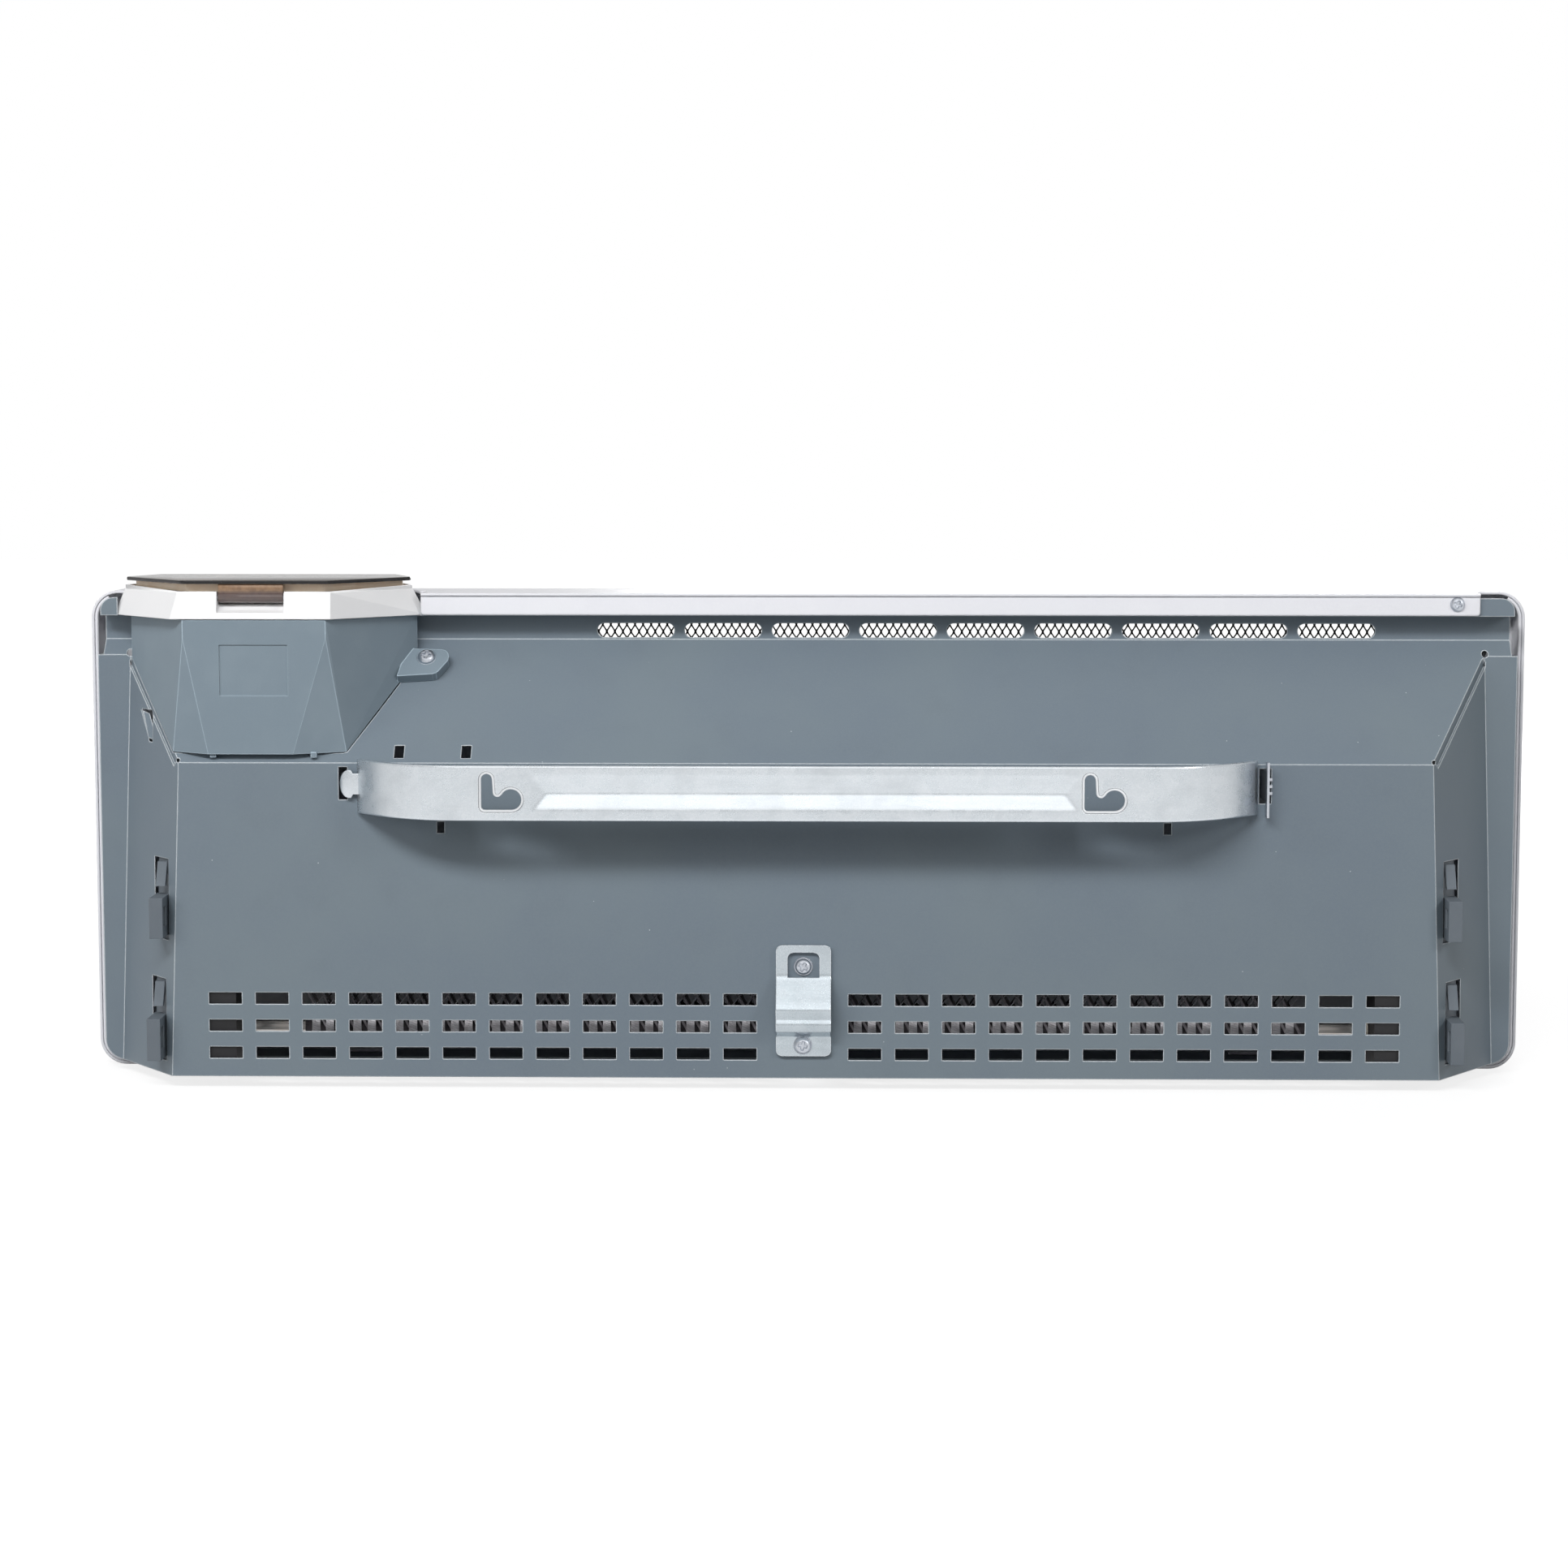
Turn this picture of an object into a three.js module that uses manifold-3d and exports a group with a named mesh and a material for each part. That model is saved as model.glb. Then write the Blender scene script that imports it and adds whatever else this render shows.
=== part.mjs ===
// A wall-hung plinth heater seen from its back: a white front tray, a folded
// slate-grey rear cover with air slots, a finned heating element between them,
// a plug-in control unit with a hinged lid, and the fittings that hang it on a wall.
// Millimetres. +Z is up, +Y is the room side, -Y is the wall side.

import * as THREE from 'three';
import { mergeVertices } from 'three/addons/utils/BufferGeometryUtils.js';
import { ConvexGeometry } from 'three/addons/geometries/ConvexGeometry.js';
import Module from 'manifold-3d';

const wasm = await Module();
wasm.setup();

// ---------------------------------------------------------------- sizes
const PANEL_WIDTH = 640;
const PANEL_HEIGHT = 215;
const PANEL_DEPTH = 25;
const PANEL_CORNER = 12;
const PANEL_SHEET = 1.2;

const GAP = 0.3;

const COVER_SHEET = 1;
const COVER_HALF = PANEL_WIDTH / 2 - 5.8;
const COVER_BOTTOM = 5;
const COVER_CORNER = 9;
const INLET_LIP = 4.5;
const RIM_HALF = COVER_HALF - 2.5;
const RIM_CORNER = 6;
const RIM_Y = -20;
const RIM_LOW = PANEL_HEIGHT - 10;
const RIM_TOP = PANEL_HEIGHT - 2;
const RIM_SCREW = [RIM_HALF - 25.5, RIM_TOP - 2.6];
const STRIP_Y = -9;
const STRIP_LOW = PANEL_HEIGHT - 21;
const BACK_Y = -54.6;
const BACK_TOP = PANEL_HEIGHT - 72;
const SHOULDER_Y = -15;
const SHOULDER_HALF = COVER_HALF - 7.8;
const BACK_HALF = COVER_HALF - 37.6;
const WING_LEAN = 0.037;

const OUTLET_SLOTS = 9;
const OUTLET_FIRST = -75.2;
const OUTLET_PITCH = 38.8;
const OUTLET_LENGTH = 34.2;
const OUTLET_Z = PANEL_HEIGHT - 17;
const OUTLET_HEIGHT = 6.3;

const INTAKE_COLUMNS = 12;
const INTAKE_FIRST = 27.2;
const INTAKE_SHIFT = -0.5;
const INTAKE_PITCH = (BACK_HALF - 31.2) / INTAKE_COLUMNS;
const INTAKE_WIDTH = 0.704 * INTAKE_PITCH;
const INTAKE_HEIGHT = 5.1;
const INTAKE_ROWS = [39.6, 27.6, 15.6];

const GRILLE_LEFT = -150;
const GRILLE_RIGHT = COVER_HALF - 14.2;
const GRILLE_Z = PANEL_HEIGHT - 19;
const GRILLE_HEIGHT = 16;

const ROD_Y = -28;
const ROD_Z = 23;
const ROD_R = 4.2;
const FIN_HALF = BACK_HALF - 55.6;
const FIN_PITCH = 6.12;
const FIN_LEAN = 0.28;
const FIN_REACH = 14;
const BUSH_X = FIN_HALF + 28;
const TERMINAL_X = FIN_HALF + 52;

// The upper fittings are drawn for a 215 mm panel and move with its height.
const UPPER_LIFT = PANEL_HEIGHT - 215;

const UNIT_X = -(COVER_HALF - 76.8);
const UNIT_TIP_Y = -17;
const UNIT_BACK_Y = -57;
const UNIT_FRONT_Y = 13;
const UNIT_NARROW = 10;
const BEZEL_TIP = 69.3;
const BEZEL_BACK = 34.8;
const BEZEL_TIP_SHIFT = 0.8;
const BEZEL_BACK_SHIFT = -1.5;
const HOUSING_X = UNIT_X + 2.3;
const BEZEL_LOW = RIM_LOW - UPPER_LIFT + GAP;
const BEZEL_HEIGHT = 11.4;
const BEZEL_TOP = BEZEL_LOW + BEZEL_HEIGHT;
const BEZEL_LIP = 2.7;
const FACE_TOP = BEZEL_TOP - BEZEL_LIP;
const FACE_SHEET = 2.2;
const FACE_LOW = FACE_TOP - FACE_SHEET;
const BOARD_SHEET = 1.7;
const BOARD_TOP = BEZEL_LOW - 2 * GAP;
const BOARD_LOW = BOARD_TOP - BOARD_SHEET;
const LID_GAP = 0.4;
const LID_SKIRT = 3.3;
const LID_SHEET = 1.6;
const LID_LOW = BEZEL_TOP + LID_GAP;
const LID_PLATE = LID_LOW + LID_SKIRT;
const LID_TOP = LID_PLATE + LID_SHEET;
const HINGE_Y = -52.8;
const HINGE_Z = BEZEL_TOP - 2.1;
const NOTCH_HALF = 14.5;
const NOTCH_X = UNIT_X - 1.5;
const KNUCKLE_HALF = NOTCH_HALF - 0.4;
const PIN_HALF = NOTCH_HALF + 2.9;

// Outline of the screw lug's face on the slope, corner by corner, from the unit's middle.
const LUG_THICK = 5;
const LUG_FACE = [
  [61.4, -18.9, 190.5], [76.9, -19.2, 190], [78.6, -19.5, 189.6], [79.8, -20.6, 188.5],
  [80.3, -22.1, 186.9], [80, -23.4, 185.4], [76.4, -27.2, 181.2], [75.2, -28, 180.2],
  [73.6, -28.4, 179.8], [58, -29.2, 178.9],
];
const LUG_SCREW = [UNIT_X + 70.4, -22.1, 186.9];
const SLOPE_TURN = new THREE.Matrix4().makeRotationX(-0.7297);

const BUTTON_R = 4.2;
const BUTTON_Y = -24;
const BUTTONS = [
  { name: 'button_power', x: -34, y: -8 },
  { name: 'button_minus', x: -22, y: BUTTON_Y },
  { name: 'button_mode', x: 0, y: BUTTON_Y },
  { name: 'button_plus', x: 22, y: BUTTON_Y },
  { name: 'button_timer', x: 34, y: -8 },
];

const ARCH_Y = -86;
const ARCH_HALF = BACK_HALF - 82.1;
const ARCH_FLAT = ARCH_HALF - 47.5;
const ARCH_LOW = 121.3;
const ARCH_TOP = 145.1;
const ARCH_X = 1.1;
const ARCH_LEFT = ARCH_X - ARCH_HALF;
const ARCH_RIGHT = ARCH_X + ARCH_HALF;
const KEYHOLES = [-134.2, 121.6];
const LATCH_X = ARCH_RIGHT + 4.1;
const ARCH_SHEET = 2;

const CLIPS = [
  { z0: 64.5, z1: 100, low: 66.7, high: 84.3 },
  { z0: 11, z1: 47, low: 12.8, high: 31.2 },
];
const CLIP_X = BACK_HALF + 4.3;
const CLIP_WIDTH = 5.9;

// ---------------------------------------------------------------- colours
const FINISH = {
  white: { color: 0xf1f1ef, roughness: 0.42, metalness: 0.0 },
  slate: { color: 0x6f757c, roughness: 0.62, metalness: 0.1 },
  slatePlastic: { color: 0x63686f, roughness: 0.6, metalness: 0.0 },
  darkSteel: { color: 0x2b2d30, roughness: 0.6, metalness: 0.5 },
  zinc: { color: 0xb9bcbc, roughness: 0.38, metalness: 0.9 },
  bright: { color: 0xc9cbcd, roughness: 0.25, metalness: 1.0 },
  aluminium: { color: 0x9ea1a3, roughness: 0.45, metalness: 0.95 },
  ceramic: { color: 0xe3ded2, roughness: 0.7, metalness: 0.0 },
  smoke: { color: 0x4a3a34, roughness: 0.12, metalness: 0.0 },
  face: { color: 0xe4e4e2, roughness: 0.5, metalness: 0.0 },
  glass: { color: 0x15181b, roughness: 0.08, metalness: 0.0 },
  button: { color: 0xb9bcc0, roughness: 0.45, metalness: 0.0 },
  board: { color: 0x1f5a38, roughness: 0.5, metalness: 0.0 },
  nylon: { color: 0xd8d4c8, roughness: 0.55, metalness: 0.0 },
  wireRed: { color: 0x8c2f26, roughness: 0.5, metalness: 0.0 },
  wireBlue: { color: 0x2c4a80, roughness: 0.5, metalness: 0.0 },
};

// ---------------------------------------------------------------- solids
function solid(geometry) {
  const plain = geometry.clone();
  plain.deleteAttribute('normal');
  plain.deleteAttribute('uv');
  const merged = mergeVertices(plain, 1e-4);
  const vertProperties = new Float32Array(merged.attributes.position.array);
  const triVerts = new Uint32Array(merged.index.array);
  return new wasm.Manifold(new wasm.Mesh({ numProp: 3, vertProperties, triVerts }));
}

function geometryOf(body) {
  const mesh = body.getMesh();
  const geometry = new THREE.BufferGeometry();
  const stride = mesh.numProp;
  const count = mesh.vertProperties.length / stride;
  const points = new Float32Array(count * 3);
  for (let i = 0; i < count; i += 1) {
    for (let k = 0; k < 3; k += 1) {
      points[3 * i + k] = mesh.vertProperties[stride * i + k];
    }
  }
  geometry.setAttribute('position', new THREE.BufferAttribute(points, 3));
  geometry.setIndex(Array.from(mesh.triVerts));
  return geometry;
}

function moved(body, matrix) {
  return solid(geometryOf(body).applyMatrix4(matrix));
}

function union(bodies) {
  return bodies.reduce((a, b) => a.add(b));
}

function cut(body, tools) {
  return tools.reduce((a, b) => a.subtract(b), body);
}

function box(x0, x1, y0, y1, z0, z1) {
  const geometry = new THREE.BoxGeometry(x1 - x0, y1 - y0, z1 - z0);
  geometry.translate((x0 + x1) / 2, (y0 + y1) / 2, (z0 + z1) / 2);
  return solid(geometry);
}

function hull(points) {
  return solid(new ConvexGeometry(points.map((p) => new THREE.Vector3(...p))));
}

function shapeOf(points) {
  return new THREE.Shape(points.map((p) => new THREE.Vector2(p[0], p[1])));
}

function extrude(shape, depth, segments = 6) {
  return new THREE.ExtrudeGeometry(shape, { depth, bevelEnabled: false, curveSegments: segments });
}

// Shape drawn in X,Z and pushed along Y from y0 to y1.
function alongY(shape, y0, y1, segments = 6) {
  const geometry = extrude(shape, y1 - y0, segments);
  geometry.rotateX(Math.PI / 2);
  geometry.translate(0, y1, 0);
  return solid(geometry);
}

// Shape drawn in Y,Z and pushed along X from x0 to x1.
function alongX(shape, x0, x1, segments = 6) {
  const geometry = extrude(shape, x1 - x0, segments);
  const turn = new THREE.Matrix4().makeBasis(
    new THREE.Vector3(0, 1, 0),
    new THREE.Vector3(0, 0, 1),
    new THREE.Vector3(1, 0, 0),
  );
  geometry.applyMatrix4(turn);
  geometry.translate(x0, 0, 0);
  return solid(geometry);
}

// Shape drawn in X,Y and pushed up from z0 to z1.
function alongZ(shape, z0, z1, segments = 6) {
  const geometry = extrude(shape, z1 - z0, segments);
  geometry.translate(0, 0, z0);
  return solid(geometry);
}

function cylinderX(x0, x1, y, z, r, segments = 20) {
  const geometry = new THREE.CylinderGeometry(r, r, x1 - x0, segments);
  geometry.rotateZ(Math.PI / 2);
  geometry.translate((x0 + x1) / 2, y, z);
  return solid(geometry);
}

function cylinderY(x, y0, y1, z, r, segments = 20, rEnd = r) {
  const geometry = new THREE.CylinderGeometry(rEnd, r, y1 - y0, segments);
  geometry.translate(x, (y0 + y1) / 2, z);
  return solid(geometry);
}

function cylinderZ(x, y, z0, z1, r, segments = 20, rTop = r) {
  const geometry = new THREE.CylinderGeometry(rTop, r, z1 - z0, segments);
  geometry.rotateX(Math.PI / 2);
  geometry.translate(x, y, (z0 + z1) / 2);
  return solid(geometry);
}

function roundedRect(x0, x1, z0, z1, r) {
  const shape = new THREE.Shape();
  shape.moveTo(x0 + r, z0);
  shape.lineTo(x1 - r, z0);
  shape.absarc(x1 - r, z0 + r, r, -Math.PI / 2, 0, false);
  shape.lineTo(x1, z1 - r);
  shape.absarc(x1 - r, z1 - r, r, 0, Math.PI / 2, false);
  shape.lineTo(x0 + r, z1);
  shape.absarc(x0 + r, z1 - r, r, Math.PI / 2, Math.PI, false);
  shape.lineTo(x0, z0 + r);
  shape.absarc(x0 + r, z0 + r, r, Math.PI, 1.5 * Math.PI, false);
  return shape;
}

function wire(points, radius) {
  const curve = new THREE.CatmullRomCurve3(points.map((p) => new THREE.Vector3(...p)));
  const circle = new THREE.Shape();
  circle.absarc(0, 0, radius, 0, 2 * Math.PI, false);
  const geometry = new THREE.ExtrudeGeometry(circle, {
    steps: 6 * (points.length - 1),
    bevelEnabled: false,
    extrudePath: curve,
    curveSegments: 4,
  });
  return solid(geometry);
}

const heater = new THREE.Group();
heater.name = 'plinth_heater';
heater.position.y = -(ARCH_Y + PANEL_DEPTH) / 2;

function lifted(body) {
  return moved(body, new THREE.Matrix4().makeTranslation(0, 0, UPPER_LIFT));
}

function place(name, body, finish) {
  const material = new THREE.MeshStandardMaterial(FINISH[finish]);
  material.name = `${name}_finish`;
  const mesh = new THREE.Mesh(geometryOf(body), material);
  mesh.name = name;
  heater.add(mesh);
}

// ---------------------------------------------------------------- control unit outline
// Six-sided plan: straight at the room side, two slanted faces towards the wall.
function unitPlan(tip, back, inset, tipShift = 0, backShift = 0) {
  const yBack = UNIT_BACK_Y + inset;
  const yTip = UNIT_TIP_Y + inset * 0.4;
  const yFront = UNIT_FRONT_Y - inset;
  return [
    [UNIT_X + tipShift - tip, yTip],
    [UNIT_X + backShift - back, yBack],
    [UNIT_X + backShift + back, yBack],
    [UNIT_X + tipShift + tip, yTip],
    [UNIT_X + tipShift + tip - UNIT_NARROW, yFront],
    [UNIT_X + tipShift - tip + UNIT_NARROW, yFront],
  ];
}

function unitPrism(tip, back, inset, z0, z1) {
  return alongZ(shapeOf(unitPlan(tip, back, inset)), z0, z1);
}

// The bezel's widest outline, grown by a clearance.
function bezelPrism(grow, z0, z1) {
  const plan = unitPlan(BEZEL_TIP + grow, BEZEL_BACK + grow, -grow, BEZEL_TIP_SHIFT, BEZEL_BACK_SHIFT);
  return alongZ(shapeOf(plan), z0, z1);
}

function housingHull(grow) {
  const points = [];
  for (const side of [-1, 1]) {
    points.push([HOUSING_X + side * (63.5 + grow), UNIT_TIP_Y - grow * 0.4, BEZEL_LOW - GAP + grow]);
    points.push([HOUSING_X + side * (63.5 + grow), UNIT_TIP_Y - grow * 0.4, 186 - grow]);
    points.push([UNIT_X + side * (31 + grow * 0.5), -56.3 - grow, BEZEL_LOW - GAP + grow]);
    points.push([UNIT_X + side * (31 + grow * 0.5), -56.3 - grow, 197.2]);
    points.push([UNIT_X + 0.8 + side * (37.8 + grow), -50.4 - grow * 0.4, 147.4 - grow]);
    points.push([UNIT_X - 2.2 + side * (18.4 + grow * 0.5), -56.3 - grow, 146.8 - grow]);
    points.push([HOUSING_X + side * (53.4 + grow), 9 + grow, BEZEL_LOW - GAP + grow]);
    points.push([HOUSING_X + side * (53.4 + grow), 9 + grow, 188 - grow]);
    points.push([UNIT_X + 0.8 + side * (37.4 + grow), -24 + grow, 146.8 - grow]);
  }
  return hull(points);
}

// ---------------------------------------------------------------- front panel
function frontPanel() {
  const half = PANEL_WIDTH / 2;
  const bevel = 2.5;
  const t = PANEL_SHEET;
  const front = PANEL_DEPTH;
  const slab = alongY(roundedRect(-half, half, 0, PANEL_HEIGHT, PANEL_CORNER), 0, front - bevel);
  const noseRings = [];
  for (let i = 0; i < 3; i += 1) {
    const a0 = (i / 3) * (Math.PI / 2);
    const inset = bevel * (1 - Math.cos(a0));
    const depth = bevel * Math.sin(((i + 1) / 3) * (Math.PI / 2));
    const ring = roundedRect(-half + inset, half - inset, inset, PANEL_HEIGHT - inset, PANEL_CORNER - inset);
    noseRings.push(alongY(ring, front - bevel - 1, front - bevel + depth));
  }
  const full = union([slab, ...noseRings]);
  const inner = roundedRect(-half + t, half - t, t, PANEL_HEIGHT - t, PANEL_CORNER - t);
  let tray = full.subtract(alongY(inner, -1, front - bevel));
  tray = tray.subtract(alongY(
    roundedRect(-half + 3, half - 3, 3, PANEL_HEIGHT - 3, PANEL_CORNER - 3),
    front - bevel - 1,
    front - t,
  ));
  const rimLeft = UNIT_X + 68;
  const rimRight = RIM_HALF - 15.5;
  const rim = union([
    box(rimLeft, rimRight, RIM_Y - 2.2, 1, PANEL_HEIGHT - t, PANEL_HEIGHT),
    alongY(
      roundedRect(rimLeft, rimRight, RIM_LOW + 0.4, PANEL_HEIGHT, 1.4),
      RIM_Y - GAP - t,
      RIM_Y - GAP,
    ),
    box(rimLeft, rimRight, RIM_Y - GAP - t, RIM_Y - GAP, PANEL_HEIGHT - 4, PANEL_HEIGHT),
  ]);
  const tabs = [-200, 0, 200].map((x) => union([
    box(x - 9, x + 9, 9.3, 10.5, 0.5, COVER_BOTTOM + COVER_SHEET + GAP + 1.2),
    box(x - 9, x + 9, -1.7, 10.5, COVER_BOTTOM + COVER_SHEET + GAP, COVER_BOTTOM + COVER_SHEET + GAP + 1.2),
  ]));
  const body = union([tray, rim, ...tabs]);
  return cut(body, [
    alongY(roundedRect(GRILLE_LEFT, GRILLE_RIGHT, GRILLE_Z - GRILLE_HEIGHT / 2,
      GRILLE_Z + GRILLE_HEIGHT / 2, 4), front - 5, front + 1),
    lifted(bezelPrism(GAP, BEZEL_LOW - 10, BEZEL_TOP)),
    cylinderY(RIM_SCREW[0], RIM_Y - 3, RIM_Y + 2, RIM_SCREW[1], 1.7, 12),
  ]);
}

// ---------------------------------------------------------------- outlet mesh
function outletMesh() {
  const x0 = GRILLE_LEFT - 5;
  const x1 = GRILLE_RIGHT + 5;
  const z0 = GRILLE_Z - 12;
  const z1 = GRILLE_Z + 12;
  const shape = shapeOf([[x0, z0], [x1, z0], [x1, z1], [x0, z1]]);
  const pitch = 11;
  const rise = 7.2;
  const columns = Math.floor((x1 - x0 - 8) / pitch);
  const start = (x0 + x1) / 2 - ((columns - 1) * pitch) / 2;
  for (let row = -1; row <= 1; row += 1) {
    const shift = row === 0 ? 0 : pitch / 2;
    const count = row === 0 ? columns : columns - 1;
    for (let i = 0; i < count; i += 1) {
      const cx = start + shift + i * pitch;
      const cz = GRILLE_Z + row * rise * 0.56;
      const hole = new THREE.Path();
      hole.moveTo(cx - pitch * 0.41, cz);
      hole.lineTo(cx, cz - rise * 0.41);
      hole.lineTo(cx + pitch * 0.41, cz);
      hole.lineTo(cx, cz + rise * 0.41);
      hole.closePath();
      shape.holes.push(hole);
    }
  }
  return alongY(shape, PANEL_DEPTH - PANEL_SHEET - GAP - 1, PANEL_DEPTH - PANEL_SHEET - GAP);
}

// ---------------------------------------------------------------- rear cover
function slopeZ(y) {
  const rise = (STRIP_LOW - BACK_TOP) / (STRIP_Y - BACK_Y);
  return STRIP_LOW + (y - STRIP_Y) * rise;
}

function slopeY(z) {
  return STRIP_Y - ((STRIP_LOW - z) * (STRIP_Y - BACK_Y)) / (STRIP_LOW - BACK_TOP);
}

function wingX(y, z) {
  const run = (SHOULDER_HALF - BACK_HALF) / (SHOULDER_Y - BACK_Y);
  return SHOULDER_HALF + (y - SHOULDER_Y) * run - WING_LEAN * (z - COVER_BOTTOM);
}

function bulge(inset, yFront, zLow) {
  const points = [];
  const yBack = BACK_Y + inset;
  for (const side of [-1, 1]) {
    for (const y of [yFront, yBack]) {
      const zTop = slopeZ(y) - 1.5 * inset;
      for (const z of [zLow, zTop]) {
        points.push([side * (wingX(y, z) - 1.243 * inset), y, z]);
      }
    }
  }
  return hull(points);
}

function clipInner(c) {
  return CLIP_X - WING_LEAN * ((c.low + c.high) / 2 - COVER_BOTTOM);
}

// Narrow gap where the wing and the slope meet without a weld.
function seam(side) {
  const points = [];
  for (const y of [SHOULDER_Y - 1, BACK_Y + 1]) {
    const z = slopeZ(y);
    const x = side * wingX(y, z);
    for (const d of [-3, 2]) {
      points.push([x - side * 0.5 - side * d * 0.45, y - d * 0.8, z + d]);
      points.push([x + side * 0.5 - side * d * 0.45, y - d * 0.8, z + d]);
    }
  }
  return hull(points);
}

function seamHole(side, y, r) {
  const z = slopeZ(y) - 0.5;
  return cylinderY(side * (wingX(y, z) - 0.6), y - 4, y + 4, z, r, 10);
}

// Small lanced tab that stands off the left wing.
function louvreTab() {
  const edge = -SHOULDER_HALF;
  const root = [[edge + 12.2, BACK_TOP + 20.6], [edge + 16.8, BACK_TOP + 8.6]];
  const tab = [];
  for (const [x, z] of root) {
    const y = SHOULDER_Y - (wingX(SHOULDER_Y, z) + x) / 0.755;
    for (const k of [0, 1]) {
      tab.push([x + 0.6, y + 0.9 * (1 - k), z]);
      tab.push([x + 5.2, y - 3.4 - 0.9 * k, z - 1.5]);
      tab.push([x + 0.6, y - 0.6 - 0.4 * k, z]);
    }
  }
  const slot = hull([
    [edge + 13.8, -34, BACK_TOP + 21], [edge + 19.2, -34, BACK_TOP + 21],
    [edge + 18, -34, BACK_TOP + 7], [edge + 23.4, -34, BACK_TOP + 7],
    [edge + 13.8, -20, BACK_TOP + 21], [edge + 19.2, -20, BACK_TOP + 21],
    [edge + 18, -20, BACK_TOP + 7], [edge + 23.4, -20, BACK_TOP + 7],
  ]);
  return { tab: hull(tab), slot };
}

function rearCover() {
  const t = COVER_SHEET;
  const shoulderTop = slopeZ(SHOULDER_Y);
  const pan = alongY(
    roundedRect(-COVER_HALF, COVER_HALF, COVER_BOTTOM, shoulderTop + 10, COVER_CORNER),
    SHOULDER_Y,
    8,
  );
  const panHollow = alongY(
    roundedRect(-COVER_HALF + t, COVER_HALF - t, COVER_BOTTOM + t, shoulderTop + 20, COVER_CORNER - t),
    SHOULDER_Y + t,
    9,
  );
  const trimmed = cut(pan, [
    panHollow,
    box(-400, 400, SHOULDER_Y - 1, 20, shoulderTop, shoulderTop + 40),
  ]);
  const slope = slopeZ(STRIP_Y + t) - 1.5 * t;
  const top = alongX(shapeOf([
    [RIM_Y, RIM_TOP],
    [RIM_Y, RIM_LOW],
    [STRIP_Y, RIM_LOW],
    [STRIP_Y, STRIP_LOW],
    [SHOULDER_Y, shoulderTop],
    [SHOULDER_Y + 0.75 * t, shoulderTop - 0.67 * t],
    [STRIP_Y + t, slope],
    [STRIP_Y + t, RIM_LOW + t],
    [RIM_Y + t, RIM_LOW + t],
    [RIM_Y + t, RIM_TOP],
  ]), -RIM_HALF, RIM_HALF);
  const corners = alongY(roundedRect(-RIM_HALF, RIM_HALF, 0, RIM_TOP, RIM_CORNER), RIM_Y - 5, 5);
  const body = union([
    trimmed,
    bulge(0, SHOULDER_Y + t / 2, COVER_BOTTOM),
    top.intersect(corners),
  ]);
  const inside = bulge(t, STRIP_Y - 1, COVER_BOTTOM + t);
  const insideLow = bulge(t, SHOULDER_Y + 3, COVER_BOTTOM - 2).intersect(
    box(-400, 400, BACK_Y + INLET_LIP, 10, -10, 400),
  );
  const tools = [inside, insideLow];
  for (let i = 0; i < OUTLET_SLOTS; i += 1) {
    const cx = OUTLET_FIRST + i * OUTLET_PITCH;
    const shape = roundedRect(cx - OUTLET_LENGTH / 2, cx + OUTLET_LENGTH / 2,
      OUTLET_Z - OUTLET_HEIGHT / 2, OUTLET_Z + OUTLET_HEIGHT / 2, OUTLET_HEIGHT / 2 - 0.01);
    tools.push(alongY(shape, STRIP_Y - 2, STRIP_Y + 4, 5));
  }
  for (const side of [-1, 1]) {
    for (let i = 0; i < INTAKE_COLUMNS; i += 1) {
      const cx = INTAKE_SHIFT + side * (INTAKE_FIRST + i * INTAKE_PITCH);
      for (const cz of INTAKE_ROWS) {
        tools.push(box(cx - INTAKE_WIDTH / 2, cx + INTAKE_WIDTH / 2, BACK_Y - 3, BACK_Y + 4,
          cz - INTAKE_HEIGHT / 2, cz + INTAKE_HEIGHT / 2));
      }
    }
    for (const c of CLIPS) {
      const a = side * (clipInner(c) - 0.6);
      const b = side * (clipInner(c) + CLIP_WIDTH + 1.6);
      tools.push(box(Math.min(a, b), Math.max(a, b), BACK_Y - 3, -30, c.z0, c.z1));
    }
  }
  for (const x of [-175.8, -146.6]) {
    tools.push(lifted(box(x - 2.1, x + 2.1, -60, -40, 144.9, 149.9)));
  }
  for (const x of [-157.6, 157.4]) {
    tools.push(lifted(box(x - 1.6, x + 1.6, -60, -50, 112.4, 117.4)));
  }
  tools.push(lifted(box(ARCH_LEFT - 8.4, ARCH_LEFT - 4.6, -60, -50, 127, 141.2)));
  tools.push(lifted(box(LATCH_X - 3.1, LATCH_X + 2.1, -60, -50, 126, 141.2)));
  tools.push(lifted(housingHull(0.4)));
  tools.push(lifted(bezelPrism(GAP, BEZEL_LOW - GAP - 0.5, BEZEL_TOP + 3)));
  tools.push(cylinderY(RIM_SCREW[0], RIM_Y - 3, RIM_Y + 3, RIM_SCREW[1], 1.7, 12));
  tools.push(cylinderY(-0.1, BACK_Y - 3, BACK_Y + 3, 54.4, 1.8, 12));
  tools.push(cylinderY(-0.3, BACK_Y - 3, BACK_Y + 3, 20, 1.8, 12));
  tools.push(lifted(lugBore()));
  for (const side of [-1, 1]) {
    tools.push(seam(side));
    tools.push(seamHole(side, SHOULDER_Y + 1.2, 1.5));
    tools.push(seamHole(side, BACK_Y + 1.2, 0.9));
  }
  const louvre = louvreTab();
  tools.push(louvre.slot);
  return union([cut(body, tools), louvre.tab]);
}

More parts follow.
